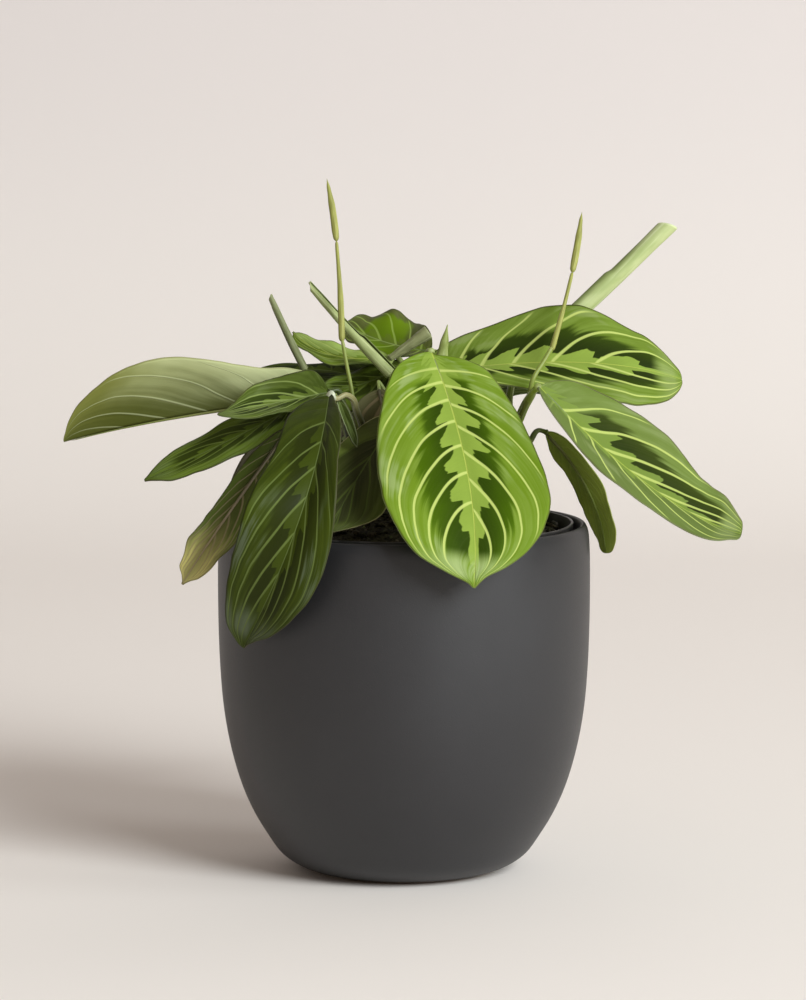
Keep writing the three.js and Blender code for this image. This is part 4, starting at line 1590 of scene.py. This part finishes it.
# Each blade gives its tone, the base, middle and tip of its midrib, the way that its face looks,
# the folds and the curls of its halves, the height, number and phases of its waves, and then its
# half-widths, one row of numbers for each half.
BLADES: dict[str, Blade] = {
    "leaf_front": Blade(
        Tone.LIME, at(12, -22, 234.1), at(27.4, -66, 185.1), at(29.7, -99, 139.9),
        at(0.05, -0.85, 0.52), (1, 18), (-16, -12),
        1.8, 1.5, (0.25, 0.18),
        ((0.5, 1.2, 11.2, 20.7, 24.7, 28.8, 31.5, 33.9, 34.7, 31, 23.9, 14.1, 4.6, 1.5, 0.5),
         (0.5, 9.5, 18.6, 25, 30.5, 35.5, 38.7, 40.2, 40, 37.2, 32.5, 25.9, 13.5, 2.2, 0.5)),
        arrive=at(0.3, -0.95, 0)),
    "leaf_right_upper": Blade(
        Tone.LIME, at(8.9, 6, 221.9), at(75, -6, 228), at(123.6, 2, 219.6),
        at(0.05, -0.75, 0.66), (4, 20), (-6, -19),
        1.7, 2, (0.25, 0.92),
        ((0.5, 7.5, 13, 17.8, 22, 27.2, 30.6, 30.4, 27.4, 22.6, 18.6, 12.2, 7, 3.9, 0.5),
         (0.5, 4, 7.5, 10.5, 13, 15.6, 18.6, 22.4, 25.1, 25.2, 22.3, 18, 11.6, 4.8, 0.5)),
        growth=Growth(9.7, 0.4, (0.14, 0.3), (1.1, 0.8), (0.6, 0.85)), face_finish=DUSK_LIME),
    "leaf_right_lower": Blade(
        Tone.LIME, at(59, -37, 220), at(107, -57, 178.1), at(145.7, -66, 158.7),
        at(0.45, -0.72, 0.5), (13, 40), (-20, -22),
        1.4, 2, (0.4, 0.3),
        ((0.5, 8, 15.5, 20.7, 26, 28.3, 27.5, 24.4, 21, 18.2, 16, 11.8, 8.2, 5.5, 0.5),
         (0.5, 5, 11, 15.5, 18.4, 22.1, 25.1, 25, 22.5, 20.9, 20.3, 16.9, 11, 7.5, 0.5)),
        arrive=at(0.45, -0.8, 0.4),
        growth=Growth(9.5, 0.55, (0.42, 0.05), (0.6, 0.8), (0.85, 0.6)), face_finish=SAGE_LIME),
    "leaf_right_small": Blade(
        Tone.OLIVE, at(64, 12, 195), at(83, 10, 169), at(91, 8, 141),
        at(0.7, 0.6, 0.4), (9, 9), (-10, -10),
        0.8, 2, (0.45, 0.25),
        ((0.5, 2.8, 5.3, 8.6, 10.2, 10.2, 11.6, 11.5, 10.2, 9.8, 8.8, 6.6, 5.4, 3.6, 0.5),
         (0.5, 2.4, 4.6, 6.8, 8.2, 9.5, 9.4, 9.4, 8.7, 8.8, 8.6, 6.8, 4.8, 3, 0.5)),
        arrive=at(0.95, 0.1, -0.25)),
    "leaf_front_left": Blade(
        Tone.DARK, at(-32.6, -36, 216), at(-44.3, -84, 168.6), at(-69.6, -62, 108.8),
        at(-0.62, -0.75, 0.22), (1, 45), (-25, -16),
        2, 2, (0.5, 0.2),
        ((0.5, 2.5, 4.3, 7.4, 9.6, 11.6, 15, 17, 18.2, 18.8, 16, 10.9, 4.4, 1, 0.5),
         (0.5, 6.9, 13.2, 17.1, 18.9, 20.7, 22.1, 22.4, 22.4, 22.5, 20.1, 16, 11.4, 4.6, 0.5)),
        arrive=at(-0.75, -0.5, 0.35),
        growth=Growth(9.5, 0.55, (0.2, 0.1), (0.75, 0.95), (0.75, 0.8))),
    "leaf_left_pale": Blade(
        Tone.PALE, at(-35, 4, 212), at(-99, -4, 204), at(-151, -8, 193),
        at(-0.1, 0.1, 1), (64, 60), (-9, -11),
        1.5, 2, (0.1, 0.35),
        ((0.5, 8.5, 12.5, 15.5, 17.6, 22.8, 27.8, 29.5, 29.1, 28, 23.2, 16.8, 9.4, 3, 0.5),
         (0.5, 8, 11.5, 14.2, 16.5, 21.5, 26, 28.2, 28.4, 27, 22.2, 15.8, 8.8, 2.8, 0.5)),
        growth=Growth(8, 0.6, (0.45, 0.45), (0.75, 0.75), (0.75, 0.75))),
    "leaf_left_upper": Blade(
        Tone.GREEN, at(-32.89, -16, 215.65), at(-57.5, -28, 211.69), at(-80.92, -46, 208.61),
        at(-0.1, -0.55, 0.8), (13, 19), (-15, -12),
        1.6, 2, (0.05, 0),
        ((0.5, 1.2, 2.2, 3.6, 5, 6.2, 7.6, 9.4, 10.6, 9.6, 7.7, 6.2, 4.9, 3.2, 0.5),
         (0.5, 9, 13.5, 14.4, 14, 15.2, 15.8, 13.4, 10.4, 7.8, 5.2, 3, 1.6, 1, 0.5)),
        growth=Growth(8, 0.6, (0.3, 0.2), (0.5, 0.35), (0.9, 0.97))),
    "leaf_left_middle": Blade(
        Tone.DARK, at(-40, -12, 214), at(-69, -24, 199), at(-114, -30, 178),
        at(-0.2, -0.6, 0.75), (7, 12), (-29, -28),
        1.2, 3, (0.15, 0.6),
        ((0.5, 2.4, 4.6, 6.6, 8.2, 9.2, 9.4, 9.4, 9.7, 10.3, 8, 6.9, 3.8, 1.2, 0.5),
         (0.5, 2.6, 5, 7, 8.6, 9.8, 10.6, 11.1, 12, 11.9, 9.8, 7, 4.1, 1.4, 0.5)),
        face_finish=DEEP_GREEN),
    "leaf_left_brown": Blade(
        Tone.OLIVE, at(-48, -4, 202), at(-77, -36, 163.5), at(-97, -44, 134),
        at(0.6, 0.75, 0.3), (5, 11), (-30, -29),
        1, 2, (0.35, 0.15),
        ((0.5, 2.3, 4.6, 6.9, 8.4, 8.8, 9, 8.9, 8.3, 9, 7, 6, 2.4, 0.6, 0.5),
         (0.5, 2.4, 4.6, 6.6, 8.2, 9.4, 10.4, 11, 11, 8.8, 7.6, 5.3, 2.2, 0.8, 0.5)),
        back_finish=GOLDEN_BACK_LIT_TIP),
    "leaf_top_left": Blade(
        Tone.GREEN, at(-7, 18, 228), at(-33, 22, 229), at(-50, 27, 239),
        at(0.1, -0.6, 0.8), (13, 3), (16, -20),
        1.6, 2, (-0.15, 0.15),
        ((0.5, 2.2, 4.3, 6.1, 7.6, 8.5, 8.9, 9, 8.6, 7.8, 6.6, 4.9, 2.5, 0.5, 0.5),
         (0.5, 2.4, 4.6, 6.4, 7.8, 8.7, 9, 8.9, 8.4, 7.6, 6.4, 4.7, 2.4, 0.5, 0.5)),
        growth=Growth(6, 0.6, (0.3, 0.35), (0.6, 0.6), (0.85, 0.85)), face_finish=YOUNG_LIME),
    "leaf_top_back": Blade(
        Tone.GREEN, at(12, 28, 230), at(-10, 37, 234), at(-27, 44, 241.5),
        at(0.1, -0.72, 0.68), (12, 6), (10, -18),
        2.8, 2, (0, 0.11),
        ((0.5, 2.7, 5.3, 7.6, 9.5, 10.9, 11.8, 12, 11.6, 10.5, 8.9, 6.6, 3.4, 0.5, 0.5),
         (0.5, 4.5, 8.7, 12.4, 15.5, 17.7, 18.8, 19, 18.6, 15.4, 12, 10.6, 7.8, 2.5, 0.5)),
        growth=Growth(7, 0.6, (0.3, 0.35), (0.9, 0.8), (0.7, 0.6)), face_finish=SUNLIT_GREEN),
    "leaf_centre_low": Blade(
        Tone.DARK, at(-3, -24, 206), at(-22, -48, 178), at(-32, -68, 159),
        at(-0.2, -0.7, 0.7), (9, 10), (-28, -30),
        1, 2, (0.4, 0.5),
        ((0.5, 4.6, 8.9, 12.7, 15.6, 17.7, 18.8, 19, 18.6, 17.2, 14.7, 11, 5.7, 0.5, 0.5),
         (0.5, 4.6, 8.9, 12.7, 15.6, 17.7, 18.8, 19, 18.6, 17.2, 14.7, 11, 5.7, 0.5, 0.5)),
        growth=Growth(6, 0.6, (0.3, 0.4), (0.6, 0.5), (0.9, 0.95)), face_finish=MOSS_DARK),
    "leaf_back_left": Blade(
        Tone.GREEN, at(-8, 16, 214), at(-42, 50, 220), at(-82, 86, 211),
        at(0.1, -0.3, 0.95), (8, 8), (-20, -20),
        2, 2, (0, 0.5),
        (oval(20), oval(20)),
        face_finish=SHADY_GREEN, back_finish=DEEP_BACK),
    "leaf_back_left_low": Blade(
        Tone.DARK, at(-6, 20, 198), at(-52, 66, 184), at(-78, 104, 134),
        at(-0.4, 0.5, 0.77), (8, 8), (-25, -25),
        2, 2, (0.2, 0.7),
        (oval(22), oval(22))),
    "leaf_back_centre": Blade(
        Tone.LIME, at(4, 22, 198), at(-4, 82, 188), at(0, 128, 116),
        at(0, 0.7, 0.7), (6, 8), (-18, -18),
        2, 1.5, (0.1, 0.6),
        (oval(28), oval(28))),
    "leaf_back_right": Blade(
        Tone.GREEN, at(20, 16, 206), at(58, 56, 214), at(98, 98, 204),
        at(0.2, 0.1, 0.97), (8, 8), (-22, -22),
        2, 2, (0.3, 0.8),
        (oval(23), oval(23)),
        face_finish=MATT_GREEN),
    "leaf_back_right_low": Blade(
        Tone.DARK, at(18, 14, 190), at(40, 72, 180), at(54, 114, 128),
        at(0.3, 0.6, 0.74), (8, 8), (-25, -25),
        1.6, 2, (0.1, 0.6),
        (oval(18), oval(18))),
}


# Three small leaves inside the crown, in the same order of sizes.
CROWN_BLADES: dict[str, Blade] = {
    "crown_leaf_olive": Blade(
        Tone.OLIVE, at(-11, 1, 215.5), at(-8.5, -4, 205), at(-3, -6, 191),
        at(0.15, 0.95, 0.25), (4, 4), (-14, -14),
        0.7, 2, (0.2, 0.5),
        (oval(15), oval(5)),
        growth=Growth(5.5, 0.6, (0.1, 0.4), (0.75, 0.8), (0.85, 0.8)), back_finish=PINK_BACK),
    "crown_leaf_dark": Blade(
        Tone.DARK, at(1, 15, 226), at(-18.8, 14.5, 216.5), at(-38, 13, 214.5),
        at(-0.05, -0.75, 0.66), (6, 4), (-20, -16),
        1.0, 2, (0.1, 0.6),
        (oval(14), oval(9)),
        growth=Growth(8, 0.6, (0.3, 0.3), (0.7, 0.7), (0.8, 0.8)), face_finish=DEEP_GREEN),
    "crown_leaf_narrow": Blade(
        Tone.DARK, at(-29, -31, 215), at(-24.8, -35, 205), at(-20.6, -36.5, 193.5),
        at(0.1, -0.9, 0.3), (20, 20), (30, 30),
        0.3, 1, (0.1, 0.6),
        (oval(2.9), oval(2.7)),
        growth=Growth(3, 0.6, (0.3, 0.3), (0.5, 0.5), (0.9, 0.9)), face_finish=THREAD_DARK),
}


# ---------------------------------------------------------------- rolled leaves


@dataclass
class RolledLeaf:
    """A young leaf still rolled lengthwise, with the outer edge lying on the roll.

    Attributes:
        base: Where it leaves its petiole.
        top: The middle of its open mouth.
        radii: At the foot, below, above and at the mouth, in millimetres.
        flap: How far the outer edge stands off, in millimetres.
        flap_end: The share of the length at which it lies down again.
        flap_turn: The side on which it stands off, in turns.
        wraps: How many times the leaf goes round.
        twist: How far the edges turn round on their way up, in turns.
        sway: How far the middle hangs below a straight line, in millimetres.
        turned: Where the inner edge starts, in turns.
        core: The inner edge's radius as a share of the outer edge's.
        skin: Its finish.
        thickness: The leaf's own thickness, in millimetres.
        inset: How far its middle surface lies inside the radii, in millimetres.
        steps: Squares along and round it.
    """

    base: Vector
    top: Vector
    radii: tuple[float, float, float, float]
    flap: float = 0.0
    flap_end: float = 0.5
    flap_turn: float = 0.0
    wraps: float = 1.45
    twist: float = 0.12
    sway: float = 0.6
    turned: float = -0.26
    core: float = 0.8
    skin: RolledSkin = RolledSkin("b3bd86", "ccd5a6", "6a7640", "93a363")
    thickness: float = 0.35
    inset: float = 0.2
    steps: tuple[int, int] = (90, 72)

    def build(self, name: str, node: str) -> None:
        """Makes the roll, open at its top.

        Args:
            name: The piece's name.
            node: The solid that it stands for.
        """
        middle = self.base.lerp(self.top, 0.5) + at(0, 0, -self.sway)
        path = Path([self.base, middle, self.top])
        foot, lower, upper, mouth = self.radii
        stops = [(0, foot), (0.2, lower), (0.8, upper), (1, mouth)]

        def place(along: float, turn: float) -> Vector:
            """Gives a point of the roll, whose first wrap lies inside the second.

            Args:
                along: From 0 at the base to 1 at the mouth.
                turn: From 0 at the inner edge to 1 at the outer edge.

            Returns:
                The point in millimetres.
            """
            round_it = self.wraps * turn + self.twist * along + self.turned
            facing = max(math.cos(2 * math.pi * (round_it - self.flap_turn)), 0.0) ** 2
            bulge = self.flap * facing * (1 - eased(along, self.flap_end - 0.05, self.flap_end))
            wrapped = self.core + (1 - self.core) * turn
            radius = between(stops, along) * wrapped - self.inset + bulge * turn
            lip = 1 - 0.03 * (1 - math.cos(2 * math.pi * turn * self.wraps)) * eased(along, 0.6, 1)
            return path.around(along * lip, round_it, radius)

        piece = sheet(name, self.steps, place)
        dress(piece, self.skin.material(name + "_skin"))
        thicken(piece, self.thickness)
        hand_over(piece, "pale_stalk", node)


OLIVE_ROLL = RolledSkin("7c825a", "989e72", "4a4e2e", "636942")
STUB_ROLL = RolledSkin("868a60", "a4a880", "4a4c2c", "6a6e48")
SPEAR_SKIN = RolledSkin("8e9a58", "aab474", "6a7440", "78843f")

ROLLED: dict[str, RolledLeaf] = {
    "rolled_leaf_right": RolledLeaf(
        at(63.8, 30.2, 234.2), at(121.1, 46, 287), (2.4, 4.1, 4, 4.2),
        flap=0.9, flap_end=0.57, flap_turn=0.25),
    "rolled_leaf_left": RolledLeaf(
        at(-5.9, 4.3, 221.8), at(-43, 12, 262), (3, 2.9, 2.1, 1.8),
        flap=0.8, flap_end=0.42, flap_turn=0.25, wraps=2.1, turned=-0.91, core=0.4,
        skin=RolledSkin("9ea971", "c6cd98", "5e6a34", "808c52")),
    "rolled_leaf_small": RolledLeaf(
        at(-44.4, 12.2, 223.4), at(-60, 10, 257), (1.9, 1.9, 1.6, 1.3), turned=0.24, skin=OLIVE_ROLL),
}


# ---------------------------------------------------------------- shoots


def heading(leaf: Union[Blade, RolledLeaf]) -> Vector:
    """Finds the direction in which a leaf leaves its petiole.

    Args:
        leaf: The blade or roll.

    Returns:
        The direction, of length 1.
    """
    if isinstance(leaf, Blade) and leaf.arrive:
        return leaf.arrive.normalized()
    if isinstance(leaf, RolledLeaf):
        return (leaf.top - leaf.base).normalized()
    return (leaf.mid * 4 - leaf.base * 3 - leaf.tip).normalized()


@dataclass
class Petiole:
    """A leaf's stalk, sheathed below and slender above, with a joint under the blade.

    Each place of its profile has a share of the length, a size in radii and how much the flare
    counts there.
    """

    leaf: str
    points: list[Vector]
    radius: float = 1.5
    skin: Optional[StemSkin] = None
    flare: float = 1.0
    profile: tuple[tuple[float, float, float], ...] = (
        (0, 1.25, 0), (0.45, 1.05, 0), (0.78, 0.78, 0), (0.88, 0.82, 0),
        (0.93, 1.08, 0.6), (0.985, 1.02, 1), (1, 0.8, 1))

    def build(self, skin: bpy.types.Material) -> bpy.types.Object:
        """Makes the stalk up to its leaf.

        Args:
            skin: Its finish, where it has none of its own.

        Returns:
            The piece.
        """
        leaf = BLADES.get(self.leaf) or CROWN_BLADES.get(self.leaf) or ROLLED[self.leaf]
        if self.skin:
            skin = self.skin.material(self.leaf + "_petiole_skin")
        ahead = heading(leaf)
        points = [*self.points, leaf.base - ahead * 4, leaf.base + ahead * 0.8]
        stops = [(share, self.radius * size * self.flare ** swell) for share, size, swell in self.profile]
        return limb(self.leaf + "_petiole", points, stops, skin, (56, 14))


@dataclass
class Shoot:
    """A stem out of the soil with the petioles that spring from it."""

    name: str
    node: str
    stem: list[Vector]
    stem_radius: float
    petioles: list[Petiole]

    def build(self, skin: bpy.types.Material, extras: list[bpy.types.Object]) -> None:
        """Makes the stem and its petioles as one piece.

        Args:
            skin: Their finish.
            extras: Pieces of the same shoot that are joined to it.
        """
        stops = [(0, self.stem_radius * 1.1), (0.5, self.stem_radius), (1, self.stem_radius * 0.8)]
        parts = [limb(self.name + "_stem", self.stem, stops, skin, (36, 18))]
        parts += [petiole.build(skin) for petiole in self.petioles]
        hand_over(join(parts + extras, self.name), "green_stem", self.node)


# A petiole gives its leaf, the points that it passes, its radius and, if it has its own, its skin.
SHOOTS: list[Shoot] = [
    Shoot("left_shoot", "shoot_left",
          [at(-20, -6, 126), at(-20, -6, 160), at(-20, -7, 176), at(-19, -8, 191)], 2.9, [
              Petiole("leaf_front_left",
                      [at(-19, -8, 184), at(-18, -17, 199), at(-21, -27, 209), at(-22.3, -29, 213.6),
                       at(-25.5, -31.5, 216)],
                      1.45, StemSkin("343d1a", "958f5c", "c8ceb4", 0.88), 2.2),
              Petiole("leaf_left_upper", [at(-20, -9, 182), at(-25, -11, 199)], 1.5,
                      StemSkin("303c12", "3c4a18", "3c4a18", 2.0)),
              Petiole("leaf_left_pale", [at(-20, -4, 184), at(-24, 1, 202)]),
              Petiole("leaf_left_middle", [at(-20, -7, 180), at(-28, -8, 204)]),
              Petiole("leaf_left_brown", [at(-20, -5, 174), at(-33, -2, 198)]),
              Petiole("rolled_leaf_small", [at(-19.6, -6, 176), at(-27, 9, 204), at(-37, 13, 216)], 1.2),
          ]),
    Shoot("centre_shoot", "shoot_centre",
          [at(5, 2, 126), at(5, 2, 160), at(5, 2, 180), at(5, 2, 198)], 2.9, [
              Petiole("leaf_front", [at(6, 0, 186), at(8, -3, 212), at(9.5, -9, 228)], 1.7),
              Petiole("leaf_right_upper", [at(5, 3, 190), at(2, 6, 210)], 1.7),
              Petiole("leaf_centre_low", [at(5, 0, 186), at(2, -13, 204)]),
              Petiole("leaf_top_back", [at(6, 5, 194), at(14, 15, 217)], 1.3),
              Petiole("leaf_top_left", [at(4, 5, 194), at(2, 13, 218)], 1.3),
              Petiole("rolled_leaf_left", [at(4, 2, 190), at(1, 3, 210)], 1.8),
              Petiole("crown_leaf_olive", [at(4, 2, 188), at(-3, 1, 204)], 0.9),
              Petiole("crown_leaf_dark", [at(4, 4, 192), at(3, 11, 214)], 0.9),
              Petiole("leaf_back_left", [at(4, 5, 188), at(0, 10, 206)]),
              Petiole("leaf_back_left_low", [at(4, 5, 178), at(0, 13, 193)]),
              Petiole("leaf_back_centre", [at(5, 5, 180), at(5, 12, 193)]),
              Petiole("leaf_back_right", [at(6, 5, 188), at(12, 10, 200)]),
              Petiole("leaf_back_right_low", [at(6, 4, 172), at(12, 8, 185)]),
          ]),
    Shoot("right_shoot", "shoot_right",
          [at(38, 2, 126), at(38, 2, 160), at(40, 2, 176), at(45, 1, 192), at(47, 1, 205)], 2.8, [
              Petiole("leaf_right_lower",
                      [at(44, 1, 188), at(49.7, -6, 200), at(53.5, -16, 210), at(56, -26, 215.5)],
                      1.9, StemSkin("788e2e", "8ea43c", "7f8a4a", 0.96)),
              Petiole("leaf_right_small", [at(43, 1, 182), at(54.9, 4, 190.2)], 1.3,
                      StemSkin("4a5620", "566224", "566224", 2.0)),
              Petiole("rolled_leaf_right", [at(47, 1, 202), at(47, 4, 212), at(51, 16, 223)]),
          ]),
]


@dataclass
class NewGrowth:
    """What else grows from the centre shoot: a pointed spear and a short rolled leaf."""

    spear: tuple[Vector, Vector] = (at(15.3, -7, 222), at(19.3, -6, 245.2))
    stub: tuple[Vector, Vector] = (at(-6.4, 9.8, 228.3), at(11, 12, 240))
    stub_wraps: float = 1.45
    stub_thickness: float = 0.3

    def build(self, green: bpy.types.Material) -> list[bpy.types.Object]:
        """Makes both with their stalks.

        Args:
            green: The stalks' finish.

        Returns:
            The pieces.
        """
        base, tip = self.spear
        spear_stalk = limb("spear_stalk", [at(7, 0, 190), at(12.6, -7, 212), at(15.6, -7, 224.5)],
                           [(0, 1.9), (0.6, 1.6), (1, 1.8)], green)
        spear = limb("spear", [base, base.lerp(tip, 0.5), tip],
                     [(0, 2.4), (0.22, 3.3), (0.6, 2.0), (1, 0.25)],
                     SPEAR_SKIN.material("spear_skin"), (40, 16))
        foot, mouth = self.stub
        stub_stalk = limb("stub_stalk",
                          [at(4, 4, 192), at(-3, 9, 213), at(-6.8, 10, 225.3), at(-4, 10.2, 230.3)],
                          [(0, 1.3), (1, 1.2)], green)
        path = Path([foot, foot.lerp(mouth, 0.5), mouth])

        def place(along: float, turn: float) -> Vector:
            """A point of the short roll, which opens towards its end."""
            radius = between([(0, 1.4), (0.35, 2.2), (1, 3.3)], along) * (0.72 + 0.26 * turn)
            return path.around(along, self.stub_wraps * turn, radius)

        stub = sheet("stub_roll", (24, 40), place)
        dress(stub, STUB_ROLL.material("stub_roll_skin"))
        thicken(stub, self.stub_thickness)
        return [spear_stalk, spear, stub_stalk, stub]


@dataclass
class FlowerStalk:
    """A lower stalk, a sheath that narrows to the upper stalk, and a narrow closed bract.

    Attributes:
        name: The piece's name.
        node: The solid that it stands for.
        lower: The points of the lower stalk, up to the sheath.
        sheath: The sheath's foot.
        joint: Where the sheath ends and the bract starts.
        tip: The bract's tip.
        bow: How far the middle of both is bent aside.
        girth: The sheath's size against the usual one.
        stalk_radii: The lower stalk's radii at its foot and at its top, in millimetres.
    """

    name: str
    node: str
    lower: list[Vector]
    sheath: Vector
    joint: Vector
    tip: Vector
    bow: Vector = at(0, 0, 0)
    girth: float = 1.0
    stalk_radii: tuple[float, float] = (0.9, 0.7)

    def build(self, stalk_skin: bpy.types.Material, bract_skin: bpy.types.Material) -> None:
        """Makes the stalk, its sheath and its bract as one piece.

        Args:
            stalk_skin: The stalk's finish.
            bract_skin: The finish of the sheath and bract.
        """
        low, high = self.stalk_radii
        stalk = limb(self.name + "_stalk", self.lower, [(0, low), (1, high)], stalk_skin, (40, 10))
        middle = self.sheath.lerp(self.joint, 0.5) + self.bow
        sheath = limb(self.name + "_sheath", [self.sheath, middle, self.joint],
                      [(0, 1.0 * self.girth), (0.03, 1.5 * self.girth), (0.38, 1.38 * self.girth),
                       (0.64, 1.0 * self.girth), (0.8, 0.82), (1, 0.78)], bract_skin, (48, 12))
        start = self.joint.lerp(self.tip, -0.02)
        bract = limb(self.name + "_bract", [start, self.joint.lerp(self.tip, 0.5) + self.bow, self.tip],
                     [(0, 0.8), (0.07, 1.4), (0.2, 1.6), (0.55, 1.5), (0.82, 0.9), (1, 0.1)], bract_skin,
                     (48, 14))
        hand_over(join([stalk, sheath, bract], self.name), "pale_stalk", self.node)


FLOWER_STALKS: list[FlowerStalk] = [
    FlowerStalk("left_flower_stalk", "flower_stalk_left",
                [at(-18.8, -10.4, 194.8), at(-21.4, -10, 205), at(-23.5, -8, 217.8), at(-25.4, -5, 226.9),
                 at(-27.5, -2, 238.5)],
                at(-27.5, -2.1, 236.7), at(-30, 2.8, 281.6), at(-34.3, 6, 309.2), at(0.4, 0, 0), 1.0,
                (1.0, 0.85)),
    FlowerStalk("right_flower_stalk", "flower_stalk_right",
                [at(47.5, -2, 196), at(51, -12, 204), at(55.2, -24, 215.5), at(56.7, -25, 222.4),
                 at(62.1, -20, 230.8), at(65.3, -16.6, 236)],
                at(65, -16.8, 234), at(74.9, 5, 267.6), at(79.4, 14, 294), at(0.3, 0, 0), 0.85, (1.3, 0.95)),
]


# ---------------------------------------------------------------- studio


@dataclass
class Studio:
    """The camera, the paper sweep and the two soft lights on the right."""

    eye: Vector = at(-0.446, -2000, 400)
    target: Vector = at(-0.446, 0, 166)
    lens: float = 162.46
    sensor: float = 36.0
    sight: float = 50.0
    front: float = 2000.0
    back: float = 1100.0
    bend: float = 700.0
    wall: float = 2600.0
    half_width: float = 3200.0
    lit_spot: Vector = at(0, 0, 150)
    key: Vector = at(2700, -3290, 2480)
    key_size: float = 2.6
    key_power: float = 262.0
    side: Vector = at(4300, -900, 1500)
    side_size: float = 1.8
    side_power: float = 54.0
    light_colour: tuple[float, float, float] = (0.95, 1.0, 1.02)
    fill_strength: float = 0.285
    fill_colour: Colour = (1.0, 0.86, 0.76, 1.0)

    def camera(self) -> None:
        """Stands the camera where the photograph was taken from."""
        clear_selection()
        bpy.ops.object.camera_add(location=self.eye * MM)
        camera = bpy.context.active_object
        camera.name = "photo_camera"
        camera.rotation_euler = (self.target - self.eye).to_track_quat("-Z", "Y").to_euler()
        camera.data.lens = self.lens
        camera.data.sensor_width = self.sensor
        camera.data.clip_end = self.sight
        bpy.context.scene.camera = camera

    def backdrop(self) -> None:
        """Lays the floor and curves it up into the wall."""
        flat = self.back + self.front
        curve = self.bend * math.pi / 2

        def place(along: float, across: float) -> Vector:
            """Gives a point of the sweep.

            Args:
                along: From 0 at the floor's front edge to 1 at the top of the wall.
                across: From 0 on the right to 1 on the left.

            Returns:
                The point in millimetres.
            """
            run = along * (flat + curve + self.wall)
            x = (1 - across * 2) * self.half_width
            if run <= flat:
                return at(x, run - self.front, 0)
            if run <= flat + curve:
                angle = (run - flat) / self.bend
                return at(x, self.back + self.bend * math.sin(angle), self.bend * (1 - math.cos(angle)))
            return at(x, self.back + self.bend, self.bend + run - flat - curve)

        floor = sheet("paper_sweep", (60, 4), place)
        dress(floor, StudioPaper().material("studio_paper"))

    def soft_light(self, name: str, place: Vector, size: float, power: float) -> None:
        """Hangs one round soft light that looks at the plant.

        Args:
            name: The light's name.
            place: Where it hangs, in millimetres.
            size: Its width in metres.
            power: In watts.
        """
        clear_selection()
        bpy.ops.object.light_add(type="AREA", location=place * MM)
        lamp = bpy.context.active_object
        lamp.name = name
        lamp.rotation_euler = (self.lit_spot - place).to_track_quat("-Z", "Y").to_euler()
        lamp.data.shape = "DISK"
        lamp.data.size = size
        lamp.data.energy = power
        lamp.data.color = self.light_colour

    def lights(self) -> None:
        """Hangs the two soft lights on the right and lets the room fill the shade."""
        self.soft_light("soft_light_front_right", self.key, self.key_size, self.key_power)
        self.soft_light("soft_light_right", self.side, self.side_size, self.side_power)
        world = bpy.data.worlds.new("studio_room")
        world.use_nodes = True
        room = world.node_tree.nodes["Background"]
        room.inputs["Color"].default_value = self.fill_colour
        room.inputs["Strength"].default_value = self.fill_strength
        bpy.context.scene.world = world

    def build(self) -> None:
        """Sets up the whole studio."""
        self.camera()
        self.backdrop()
        self.lights()
        bpy.context.scene.view_settings.view_transform = "Standard"


def main() -> None:
    """Builds the studio, the pots, the soil and the plant in order."""
    Studio().build()
    CeramicPot().build()
    GrowersPot().build()
    PottingSoil().build()
    green = StemSkin("7a8a48", "92a15a", "8d9a5a").material("green_stem_skin")
    bract = RolledSkin("979a4e", "b4b46c", "7a773a", "7f8040").material("bract_skin")
    stalk = StemSkin("69792a", "7c8a38", "8e9650").material("flower_stalk_skin")
    for shoot in SHOOTS:
        extras = NewGrowth().build(green) if shoot.node == "shoot_centre" else []
        shoot.build(green, extras)
    for flower in FLOWER_STALKS:
        flower.build(stalk, bract)
    for node, roll in ROLLED.items():
        roll.build(node.replace("leaf", "young_leaf"), node)
    for index, (node, blade) in enumerate(BLADES.items()):
        blade.build(node.replace("leaf", "blade"), node, index * SEED_STEP + FIRST_BLADE_SEED)
    for index, (name, blade) in enumerate(CROWN_BLADES.items()):
        blade.build(name.replace("leaf", "blade"), "", index * SEED_STEP + FIRST_CROWN_SEED)


if __name__ == "__main__":
    logging.basicConfig(level=logging.INFO, format="%(message)s")
    main()
